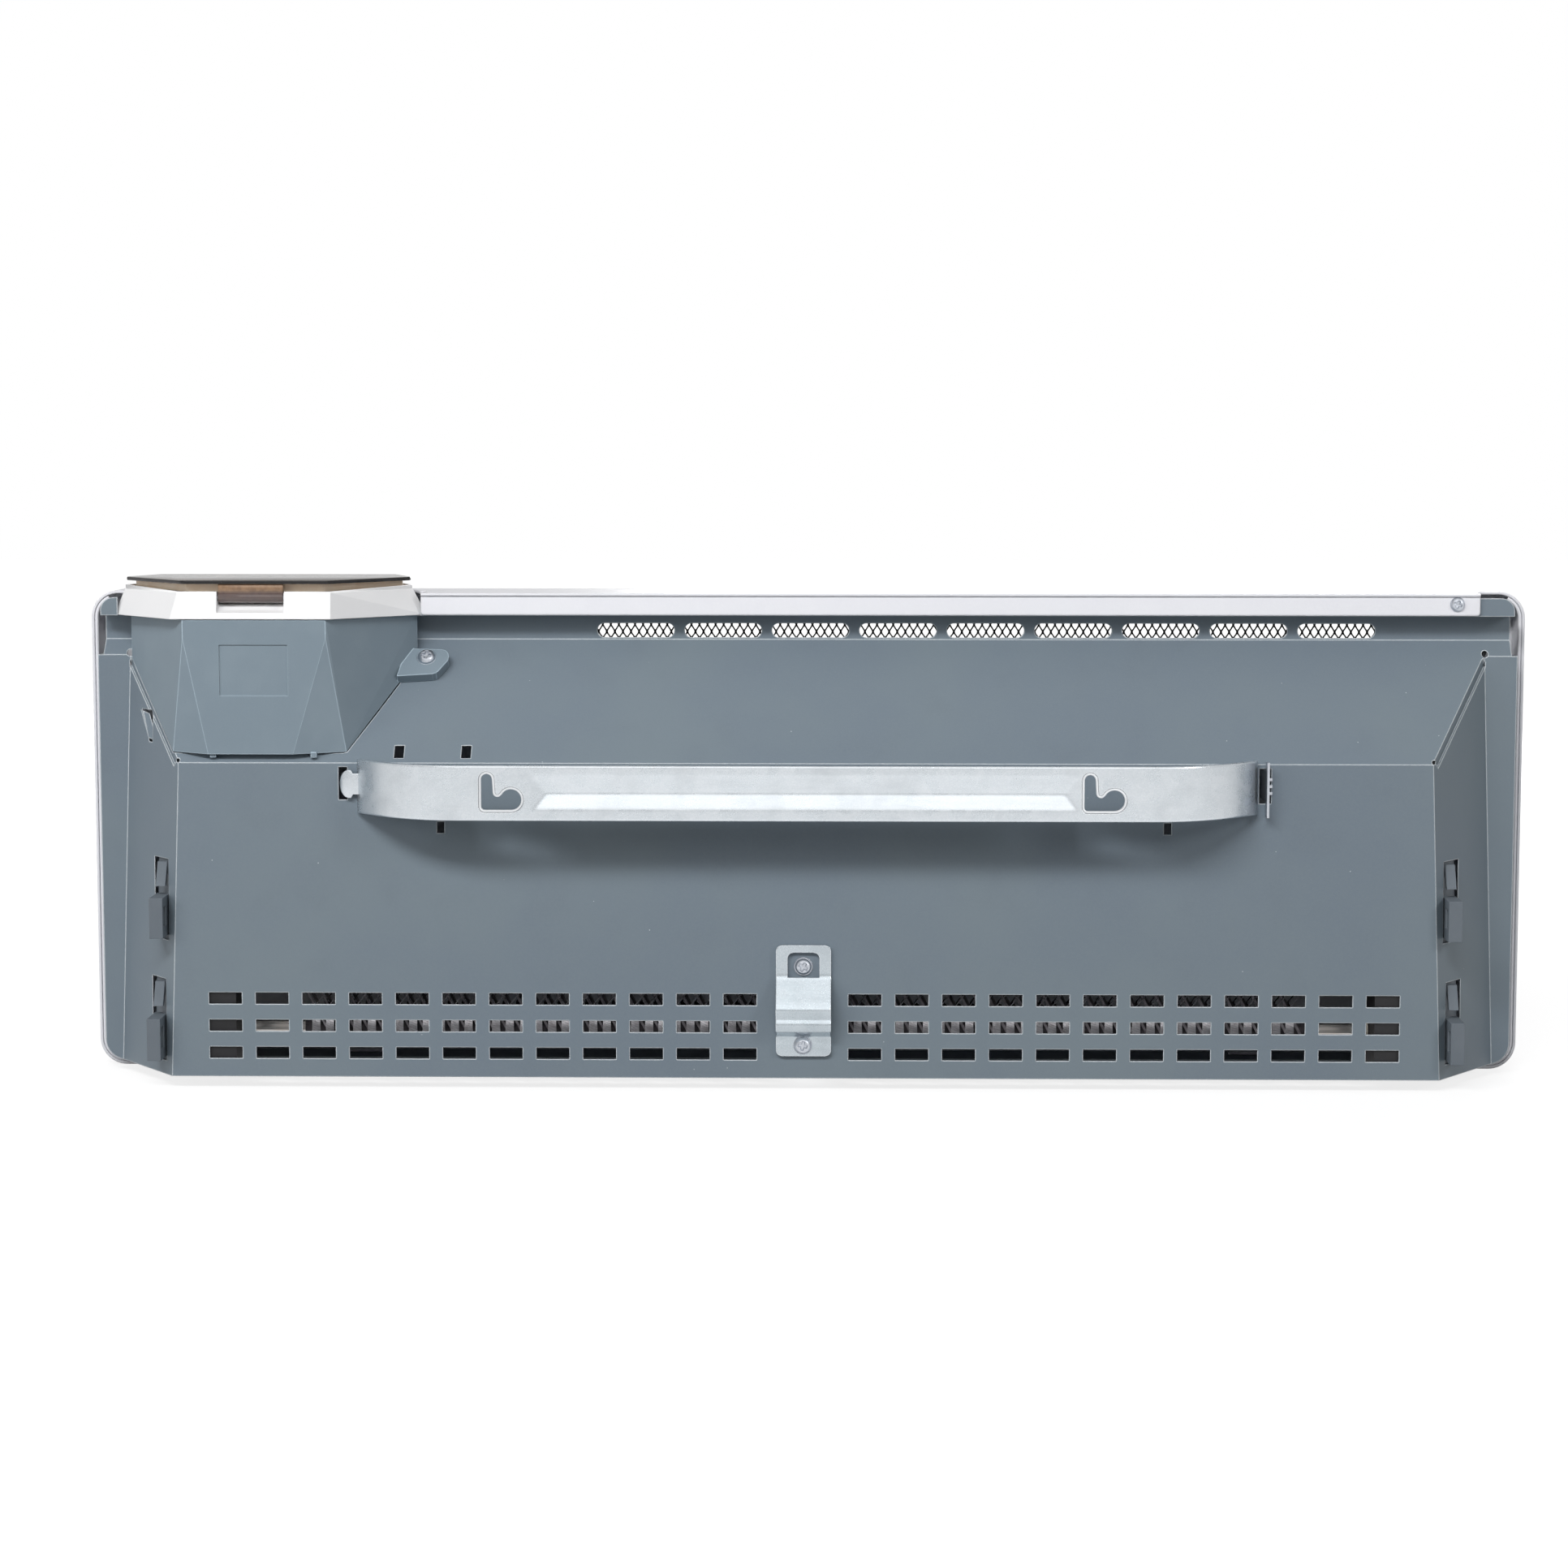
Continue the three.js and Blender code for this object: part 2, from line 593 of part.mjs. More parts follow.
// ---------------------------------------------------------------- heating element
function fins() {
  const half = FIN_REACH;
  const waist = 5.2;
  const bodies = [cylinderX(-FIN_HALF, FIN_HALF, ROD_Y, ROD_Z, 6.6, 12)];
  const count = Math.floor((2 * FIN_HALF - 2) / FIN_PITCH);
  const start = -((count - 1) * FIN_PITCH) / 2;
  for (let i = 0; i < count; i += 1) {
    const points = [];
    for (let k = 0; k < 8; k += 1) {
      const a = (k * Math.PI) / 4 + Math.PI / 8;
      const r = k % 2 === 0 ? half : waist + 3;
      points.push([ROD_Y + r * Math.cos(a), ROD_Z + r * Math.sin(a)]);
    }
    const star = alongX(shapeOf(points), 0, 1.1);
    const lean = new THREE.Matrix4().set(
      1, 0, FIN_LEAN, start + i * FIN_PITCH - FIN_LEAN * ROD_Z,
      0, 1, 0, 0,
      0, 0, 1, 0,
      0, 0, 0, 1,
    );
    bodies.push(moved(star, lean));
  }
  return union(bodies).subtract(cylinderX(-300, 300, ROD_Y, ROD_Z, ROD_R + GAP, 16));
}

function heatingRod() {
  return union([
    cylinderX(-TERMINAL_X + 7, TERMINAL_X - 7, ROD_Y, ROD_Z, ROD_R, 20),
    cylinderX(-TERMINAL_X, TERMINAL_X, ROD_Y, ROD_Z, 1.6, 10),
  ]);
}

function endBracket(side) {
  const x = side * BUSH_X;
  const plate = box(x - 0.75, x + 0.75, BACK_Y + 1 + GAP, -6, 9, 46);
  const foot = box(Math.min(x, x + side * 12), Math.max(x, x + side * 12),
    BACK_Y + 1 + GAP, BACK_Y + 2.8, 9, 46);
  const lip = box(Math.min(x, x + side * 8), Math.max(x, x + side * 8), -7.5, -6, 9, 46);
  return cut(union([plate, foot, lip]), [
    cylinderX(x - 5, x + 5, ROD_Y, ROD_Z, 7.8, 20),
    box(Math.min(x + side * 3, x + side * 20), Math.max(x + side * 3, x + side * 20),
      BACK_Y - 3, -50, 5, 7),
  ]);
}

function bush(side) {
  const x = side * BUSH_X;
  return cut(union([
    cylinderX(x - 5, x + 5, ROD_Y, ROD_Z, 7.5, 20),
    cylinderX(Math.min(x - side * 1.05, x - side * 3), Math.max(x - side * 1.05, x - side * 3),
      ROD_Y, ROD_Z, 10, 20),
  ]), [cylinderX(x - 8, x + 8, ROD_Y, ROD_Z, ROD_R + GAP, 20)]);
}

function centreBracket() {
  const yIn = BACK_Y + COVER_SHEET + GAP;
  return cut(union([
    box(-9, 9, yIn, yIn + 1.5, 38, 64),
    box(-9, 9, yIn, -12, 38, 39.5),
    box(-9, 9, -13.5, -12, 8, 39.5),
    box(-9, 9, -44, -12, 8, 9.5),
  ]), [cylinderY(-0.1, -60, -48, 54.4, 1.7, 12)]);
}

function cutout() {
  const yIn = BACK_Y + COVER_SHEET + GAP;
  return union([
    box(-172, -128, yIn, yIn + 1.2, 70, 82),
    box(-162, -138, yIn + 1, yIn + 8, 68, 84),
    cylinderY(-150, yIn + 7, yIn + 12, 76, 6, 20),
    box(-160, -157, yIn + 7, yIn + 13, 74, 78),
    box(-143, -140, yIn + 7, yIn + 13, 74, 78),
  ]);
}

// ---------------------------------------------------------------- control unit
function lugBore() {
  const turn = SLOPE_TURN.clone().setPosition(...LUG_SCREW);
  return moved(cylinderY(0, -8, 12, 0, 1.7, 12), turn);
}

function lugScrew() {
  const turn = SLOPE_TURN.clone().setPosition(...LUG_SCREW);
  return moved(crossScrew(0, 0, -0.1, 3.8, 11), turn);
}

function controlHousing() {
  const outer = housingHull(0);
  const wall = 2;
  const hollowPoints = [];
  for (const side of [-1, 1]) {
    hollowPoints.push([HOUSING_X + side * 60.7, UNIT_TIP_Y + 0.4, 210]);
    hollowPoints.push([HOUSING_X + side * 60.7, UNIT_TIP_Y + 0.4, 188.6]);
    hollowPoints.push([UNIT_X + side * 29.6, -56.3 + wall, 210]);
    hollowPoints.push([UNIT_X + side * 29.6, -56.3 + wall, 197.6]);
    hollowPoints.push([UNIT_X + 0.8 + side * 35.2, -48.6, 149.6]);
    hollowPoints.push([UNIT_X - 2.2 + side * 17, -56.3 + wall, 148.9]);
    hollowPoints.push([HOUSING_X + side * 51, 9 - wall, 210]);
    hollowPoints.push([HOUSING_X + side * 51, 9 - wall, 190.4]);
    hollowPoints.push([UNIT_X + 0.8 + side * 34.8, -26.6, 148.9]);
  }
  const lug = [];
  for (const [x, y, z] of LUG_FACE) {
    lug.push([UNIT_X + x, y, z]);
    lug.push([UNIT_X + x, y + (LUG_THICK - GAP) * 0.7456, z - (LUG_THICK - GAP) * 0.6667]);
  }
  const label = box(UNIT_X - 15.2, UNIT_X + 14.4, -58, -56.3 + 0.5, 172.2, 194.2);
  const body = union([outer, hull(lug)]);
  return cut(body, [
    hull(hollowPoints),
    label,
    lugBore(),
    box(UNIT_X - 12, UNIT_X + 12, -42, -30, 140, 152),
  ]);
}

function controlBezel() {
  const low = unitPlan(BEZEL_TIP, BEZEL_BACK, 0, BEZEL_TIP_SHIFT, BEZEL_BACK_SHIFT);
  const high = unitPlan(63.9, 33.2, 2);
  const outer = hull([
    ...low.map(([x, y]) => [x, y, BEZEL_LOW]),
    ...high.map(([x, y]) => [x, y, BEZEL_TOP]),
  ]);
  return cut(outer, [
    unitPrism(60.4, 31.4, 5.5, FACE_LOW - GAP, BEZEL_TOP + 3),
    unitPrism(57.5, 30, 8, BEZEL_LOW - 5, FACE_LOW),
    cylinderX(NOTCH_X - NOTCH_HALF, NOTCH_X + NOTCH_HALF, -57.5, BEZEL_TOP, 8.7, 24),
    cylinderX(NOTCH_X - PIN_HALF - 0.7, NOTCH_X + PIN_HALF + 0.7, HINGE_Y, HINGE_Z, 1.3, 12),
  ]);
}

function controlFace() {
  const plate = unitPrism(60.1, 31.2, 5.8, FACE_LOW, FACE_TOP);
  const bosses = [];
  for (const side of [-1, 1]) {
    bosses.push(cylinderZ(UNIT_X + side * 48, -6, BOARD_TOP + GAP, FACE_LOW + 0.2, 2.4, 10));
    bosses.push(cylinderZ(UNIT_X + side * 20, -38, BOARD_TOP + GAP, FACE_LOW + 0.2, 2.4, 10));
  }
  const tools = [
    cylinderX(NOTCH_X - NOTCH_HALF - 0.5, NOTCH_X + NOTCH_HALF + 0.5, -57.5, BEZEL_TOP, 9.4, 24),
    box(UNIT_X - 20.3, UNIT_X + 20.3, -10.3, 4.3, FACE_TOP - 1, FACE_TOP + 3),
  ];
  for (const b of BUTTONS) {
    tools.push(cylinderZ(UNIT_X + b.x, b.y, FACE_LOW - 3, FACE_TOP + 3, BUTTON_R + GAP, 20));
  }
  return cut(union([plate, ...bosses]), tools);
}

function pushButton(b) {
  return union([
    cylinderZ(UNIT_X + b.x, b.y, FACE_LOW - 0.8, FACE_TOP + 1.2, BUTTON_R, 20),
    cylinderZ(UNIT_X + b.x, b.y, FACE_TOP + 1.1, FACE_TOP + 1.6, BUTTON_R, 20, BUTTON_R - 0.5),
    cylinderZ(UNIT_X + b.x, b.y, FACE_LOW - 1.6, FACE_LOW - GAP, BUTTON_R + 1.2, 20),
  ]);
}

function displayWindow() {
  return box(UNIT_X - 20, UNIT_X + 20, -10, 4, FACE_TOP - 1 + GAP, FACE_TOP + 0.6);
}

function circuitBoard() {
  return union([
    ...BUTTONS.map((b) => box(
      UNIT_X + b.x - 2, UNIT_X + b.x + 2, b.y - 2, b.y + 2, BOARD_TOP - 0.2, FACE_LOW - 2.7,
    )),
    alongZ(shapeOf(unitPlan(52, 26, 12)), BOARD_LOW, BOARD_TOP),
    box(UNIT_X - 18, UNIT_X + 18, -6, 4, BOARD_TOP - 0.2, FACE_LOW - 3.8),
    box(UNIT_X - 30, UNIT_X - 8, -2, 6, BOARD_LOW - 13, BOARD_LOW + 0.2),
    box(UNIT_X + 8, UNIT_X + 30, -6, 4, BOARD_LOW - 9, BOARD_LOW + 0.2),
    cylinderZ(UNIT_X + 36, -12, BOARD_LOW - 17, BOARD_LOW + 0.2, 5, 16),
    box(UNIT_X - 11, UNIT_X + 11, -41, -31, 160, BOARD_LOW + 0.2),
  ]);
}

function controlLid() {
  const plate = unitPrism(63.4, 31.6, 2, LID_PLATE, LID_TOP);
  const skirt = cut(unitPrism(59.6, 30, 6.5, LID_LOW, LID_PLATE + 0.5), [
    unitPrism(58.2, 29.2, 7.8, LID_LOW - 1, LID_PLATE),
  ]);
  const low = NOTCH_X - KNUCKLE_HALF;
  const high = NOTCH_X + KNUCKLE_HALF;
  const knuckle = union([
    cylinderX(low, high, HINGE_Y, HINGE_Z, 2.3, 20),
    box(low, high, HINGE_Y - 1.2, HINGE_Y + 1.1, HINGE_Z, LID_PLATE + 0.5),
  ]);
  return cut(union([plate, skirt, knuckle]), [
    cylinderX(low - 6, high + 6, HINGE_Y, HINGE_Z, 1.3, 12),
  ]);
}

function lidPin() {
  return cylinderX(NOTCH_X - PIN_HALF, NOTCH_X + PIN_HALF, HINGE_Y, HINGE_Z, 1, 12);
}

// ---------------------------------------------------------------- connectors and leads
function unitPlug() {
  return union([
    box(UNIT_X - 11.7, UNIT_X + 11.7, -41.7, -30.3, 140, 158),
    box(UNIT_X - 9, UNIT_X + 9, -39, -33, 134, 141),
  ]);
}

function heaterSocket() {
  const yIn = BACK_Y + COVER_SHEET + GAP;
  return cut(union([
    box(UNIT_X - 14, UNIT_X + 14, yIn, -28, 116, 139.7),
  ]), [box(UNIT_X - 9.3, UNIT_X + 9.3, -39.3, -32.7, 133, 141)]);
}

// ---------------------------------------------------------------- wall fittings
function archCurve(offset) {
  const points = [];
  const steps = 8;
  const rise = BACK_Y - 2.2 - ARCH_Y;
  for (let i = 0; i <= steps; i += 1) {
    const s = i / steps;
    const x = ARCH_X - ARCH_HALF + s * (ARCH_HALF - ARCH_FLAT);
    const y = BACK_Y - 2.2 - rise * (1 - (1 - s) ** 2.2);
    points.push([x, y + offset]);
  }
  return points;
}

function keyhole(x) {
  const low = 126.1;
  const round = new THREE.Shape();
  round.moveTo(x - 2.3 + 1.2, low);
  round.lineTo(x + 10.3, low);
  round.absarc(x + 10.3, low + 4.4, 4.4, -Math.PI / 2, 0.84 * Math.PI, false);
  round.lineTo(x + 4.6, low + 5.6);
  round.lineTo(x + 3, low + 5.6);
  round.lineTo(x + 2.3, low + 6.6);
  round.lineTo(x + 2.3, 139.1);
  round.absarc(x, 139.1, 2.3, 0, Math.PI, false);
  round.lineTo(x - 2.3, low + 1.2);
  round.closePath();
  return alongY(round, ARCH_Y - 4, ARCH_Y + 8, 8);
}

function wallBracket() {
  const rear = archCurve(0);
  const front = archCurve(ARCH_SHEET);
  const mirrorRear = rear.map(([x, y]) => [2 * ARCH_X - x, y]).reverse();
  const mirrorFront = front.map(([x, y]) => [2 * ARCH_X - x, y]).reverse();
  const outline = [...rear, ...mirrorRear, ...[...mirrorFront].reverse(), ...[...front].reverse()];
  const strap = alongZ(shapeOf(outline), ARCH_LOW, ARCH_TOP);
  const yEnd = BACK_Y - 2.2;
  const neck = box(ARCH_LEFT - 6.2, ARCH_LEFT + 1, yEnd, yEnd + ARCH_SHEET - 0.2, 130, 138.5);
  const head = box(ARCH_LEFT - 7.8, ARCH_LEFT - 5.2, yEnd, BACK_Y + 6, 128.4, 140.4);
  const rib = hull([
    [-115, ARCH_Y + ARCH_SHEET - 0.2, 133.5], [115, ARCH_Y + ARCH_SHEET - 0.2, 133.5],
    [-112, ARCH_Y + ARCH_SHEET - 0.2, 140.4], [112, ARCH_Y + ARCH_SHEET - 0.2, 140.4],
    [-112, ARCH_Y + ARCH_SHEET - 0.2, 126.2], [112, ARCH_Y + ARCH_SHEET - 0.2, 126.2],
    [-109, ARCH_Y + ARCH_SHEET + 3, 133.5], [109, ARCH_Y + ARCH_SHEET + 3, 133.5],
  ]);
  const groove = hull([
    [-115, ARCH_Y - 0.5, 133.5], [115, ARCH_Y - 0.5, 133.5],
    [-112, ARCH_Y - 0.5, 140.4], [112, ARCH_Y - 0.5, 140.4],
    [-112, ARCH_Y - 0.5, 126.2], [112, ARCH_Y - 0.5, 126.2],
    [-109, ARCH_Y + 3, 133.5], [109, ARCH_Y + 3, 133.5],
  ]);
  return cut(union([strap, neck, head, rib]), [
    groove,
    ...KEYHOLES.map((x) => keyhole(x)),
    cylinderY(ARCH_RIGHT - 2.2, -62, -54, 133, 1.4, 12),
  ]);
}

function latchSpring() {
  const x = LATCH_X;
  return union([
    box(x - 0.5, x + 0.5, -62, -38, 120.6, 144.4).intersect(
      union([
        box(x - 1, x + 1, -62, BACK_Y - 0.4, 120.6, 144.4),
        box(x - 1, x + 1, -58, -38, 127, 140.2),
      ]),
    ),
    cylinderZ(x, -37.2, 127, 140.2, 1.3, 12),
  ]);
}

function latchSeat() {
  const yIn = BACK_Y + COVER_SHEET + GAP;
  const x = LATCH_X;
  return union([
    box(x + 6, x + 16, yIn, yIn + 1.5, 122, 141.5),
    box(x + 6, x + 7.5, yIn, -34.1, 122, 141.5),
    box(x - 3, x + 7.5, -35.6, -34.1, 122, 141.5),
  ]);
}

function lowerSpacer() {
  const back = BACK_Y - GAP;
  const t = 1.8;
  const path = [
    [back, 64], [back, 49.8], [back - 5.6, 44], [back - 5.6, 37.8], [back - 7.2, 36.6],
    [back - 5.4, 33], [back - 7.2, 29.6], [back - 5.4, 28.2], [back, 24.6], [back, 15.1],
  ];
  const outer = path.map(([y, z]) => [y - t, z]);
  const profile = alongX(shapeOf([...path, ...[...outer].reverse()]), -12, 12);
  const outline = alongY(roundedRect(-12, 12, 15.1, 64, 2.3), -75, -50, 5);
  return cut(profile.intersect(outline), [
    alongY(roundedRect(-7, 7, 49.6, 60.7, 2.4), -75, -50, 5),
    cylinderY(-0.3, -75, -50, 20, 2, 12),
  ]);
}

function footClip(side, c) {
  const x0 = clipInner(c);
  const x1 = x0 + CLIP_WIDTH;
  const xs = (a, b) => [Math.min(side * a, side * b), Math.max(side * a, side * b)];
  const block = box(...xs(x0, x1), -61, -42, c.low, c.high);
  const notch = box(...xs(x0 - 1, x0 + 1.6), -58.5, -53, c.low + 5, c.high - 4);
  const base = [];
  const outer = 1.243 * (COVER_SHEET + GAP);
  for (const z of [c.z0 - 4, c.z1 + 6]) {
    for (const y of [-50, -38]) {
      base.push([side * (wingX(y, z) - outer), y, z]);
      base.push([side * (wingX(y, z) - outer - 3), y, z]);
    }
  }
  const tongue = [];
  for (const x of [side * (x0 + 0.7), side * (x0 + 4.9)]) {
    tongue.push([x, -45, c.z1 - 1.5]);
    tongue.push([x, -42, c.z1 - 1.5]);
    tongue.push([x, -50.5, c.high + 4]);
    tongue.push([x, -48, c.high + 4]);
  }
  return cut(union([block, hull(base), hull(tongue)]), [notch]);
}

// ---------------------------------------------------------------- screws
function crossScrew(x, z, yHead, headR, shankEnd, headHeight = 2.2) {
  const dome = [];
  for (let i = 0; i <= 5; i += 1) {
    const a = (i / 5) * (Math.PI / 2);
    dome.push(new THREE.Vector2(headR * Math.cos(a), -headHeight * Math.sin(a)));
  }
  dome[dome.length - 1].x = 0;
  dome.unshift(new THREE.Vector2(headR, 0));
  dome.unshift(new THREE.Vector2(0, 0));
  const profile = new THREE.LatheGeometry(dome.reverse(), 20);
  profile.translate(x, yHead, z);
  const cap = solid(profile);
  const arm = headR * 0.52;
  const slotDepth = headHeight * 0.6;
  const cross = union([
    box(x - arm, x + arm, yHead - headHeight - 1, yHead - headHeight + slotDepth, z - 0.45, z + 0.45),
    box(x - 0.45, x + 0.45, yHead - headHeight - 1, yHead - headHeight + slotDepth, z - arm, z + arm),
  ]);
  const shank = cylinderY(x, yHead - 0.3, shankEnd, z, 1.4, 12);
  return cut(union([cap, shank]), [cross]);
}

// ---------------------------------------------------------------- assembly
place('front_panel', frontPanel(), 'white');
place('outlet_mesh', outletMesh(), 'darkSteel');
place('rear_cover', rearCover(), 'slate');
place('element_fins', fins(), 'aluminium');
place('heating_rod', heatingRod(), 'bright');
place('end_bracket_left', endBracket(-1), 'darkSteel');
place('end_bracket_right', endBracket(1), 'darkSteel');
place('rod_bush_left', bush(-1), 'ceramic');
place('rod_bush_right', bush(1), 'ceramic');
place('centre_bracket', centreBracket(), 'zinc');
place('thermal_cutout', cutout(), 'nylon');
place('control_housing', lifted(controlHousing()), 'slatePlastic');
place('control_bezel', lifted(controlBezel()), 'white');
place('control_face', lifted(controlFace()), 'face');
place('display_window', lifted(displayWindow()), 'glass');
for (const b of BUTTONS) {
  place(b.name, lifted(pushButton(b)), 'button');
}
place('circuit_board', lifted(circuitBoard()), 'board');
place('control_lid', lifted(controlLid()), 'smoke');
place('lid_pin', lifted(lidPin()), 'bright');
place('unit_plug', lifted(unitPlug()), 'nylon');
place('heater_socket', lifted(heaterSocket()), 'nylon');
place('lead_live', wire([
  [UNIT_X + 8, -30, 115.4 + UPPER_LIFT], [UNIT_X + 14, -32, 100 + UPPER_LIFT],
  [-190, -36, 82], [-168, -38.5, 79], [-160.6, -41.5, 76],
], 1.1), 'wireRed');
place('lead_cutout', wire([
  [-138.4, -41.5, 76], [-130, -34, 70], [-160, -26, 56], [-FIN_HALF - 9, -22, 52],
  [-TERMINAL_X + 7, -20, 46], [-TERMINAL_X - 5, -26, 33], [-TERMINAL_X - 1.5, -28, 24],
], 1.1), 'wireRed');
place('lead_neutral', wire([
  [UNIT_X - 4, -30, 115.4 + UPPER_LIFT], [UNIT_X - 2, -26, 98 + UPPER_LIFT],
  [-180, -20, 66], [-80, -16, 60], [80, -16, 60],
  [FIN_HALF - 1, -20, 56], [TERMINAL_X - 7, -20, 46], [TERMINAL_X + 5, -26, 33],
  [TERMINAL_X + 1.5, -28, 24],
], 1.1), 'wireBlue');
place('wall_bracket', lifted(wallBracket()), 'zinc');
place('latch_spring', lifted(latchSpring()), 'bright');
place('latch_seat', lifted(latchSeat()), 'zinc');
place('lower_spacer', lowerSpacer(), 'zinc');
place('foot_socket_left_upper', footClip(-1, CLIPS[0]), 'slatePlastic');
place('foot_socket_left_lower', footClip(-1, CLIPS[1]), 'slatePlastic');
place('foot_socket_right_upper', footClip(1, CLIPS[0]), 'slatePlastic');
place('foot_socket_right_lower', footClip(1, CLIPS[1]), 'slatePlastic');
place('screw_rim', crossScrew(...RIM_SCREW, RIM_Y - GAP - PANEL_SHEET - 0.1, 3.2, RIM_Y + 6), 'bright');
place('screw_lug', lifted(lugScrew()), 'bright');
place('screw_spacer_upper', crossScrew(-0.1, 54.4, BACK_Y - GAP, 3.9, BACK_Y + 8), 'bright');
place('screw_spacer_lower', crossScrew(-0.3, 20, BACK_Y - GAP - 1.9, 3.6, BACK_Y + 7), 'bright');

export default heater;
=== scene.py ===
import bpy
import bmesh
import math
import random
from mathutils import Matrix, Vector


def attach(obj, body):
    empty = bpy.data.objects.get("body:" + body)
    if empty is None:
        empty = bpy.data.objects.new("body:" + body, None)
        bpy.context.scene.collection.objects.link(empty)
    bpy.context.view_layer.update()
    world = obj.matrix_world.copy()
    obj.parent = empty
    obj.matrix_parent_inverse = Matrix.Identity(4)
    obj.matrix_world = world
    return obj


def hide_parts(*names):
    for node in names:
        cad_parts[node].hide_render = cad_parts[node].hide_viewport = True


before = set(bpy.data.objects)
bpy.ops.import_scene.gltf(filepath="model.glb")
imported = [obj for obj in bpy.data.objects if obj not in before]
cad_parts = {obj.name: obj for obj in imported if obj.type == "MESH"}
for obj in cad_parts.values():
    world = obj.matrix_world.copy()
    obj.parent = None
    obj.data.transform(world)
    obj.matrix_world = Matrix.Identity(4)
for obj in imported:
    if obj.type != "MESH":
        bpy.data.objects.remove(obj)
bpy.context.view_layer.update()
chance = random.Random(11)

MM = 0.001
SHIFT_Y = 30.5          # the drawing's depth zero lies this far in front of the frame's
COVER_BACK_Y = -54.6    # flat back of the rear cover
UNIT_X = -237.4         # middle of the control unit


def at(x, y, z):
    """A place in the drawing's millimetres, as metres in the frame."""
    return Vector((x * MM, (y + SHIFT_Y) * MM, z * MM))


# ---------------------------------------------------------------- finishes
class Level:
    """One socket of a finish, with arithmetic on it."""

    def __init__(self, finish, socket):
        self.finish = finish
        self.socket = socket

    def calc(self, operation, *terms):
        return self.finish.add("ShaderNodeMath", {"operation": operation}, list(terms))

    def __add__(self, other):
        return self.calc("ADD", self, other)

    __radd__ = __add__

    def __sub__(self, other):
        return self.calc("SUBTRACT", self, other)

    def __rsub__(self, other):
        return self.calc("SUBTRACT", other, self)

    def __mul__(self, other):
        return self.calc("MULTIPLY", self, other)

    __rmul__ = __mul__

    def __mod__(self, other):
        return self.calc("FLOORED_MODULO", self, other)

    def __lt__(self, other):
        return self.calc("LESS_THAN", self, other)

    def __gt__(self, other):
        return self.calc("GREATER_THAN", self, other)

    def __abs__(self):
        return self.calc("ABSOLUTE", self)

    def wave(self):
        return self.calc("SINE", self)

    def most(self, other):
        return self.calc("MAXIMUM", self, other)

    def ramp(self, low, high):
        """0 below low, 1 above high, smooth between."""
        settings = {"interpolation_type": "SMOOTHSTEP"}
        values = {"Value": self, "From Min": low, "From Max": high}
        return self.finish.add("ShaderNodeMapRange", settings, values)


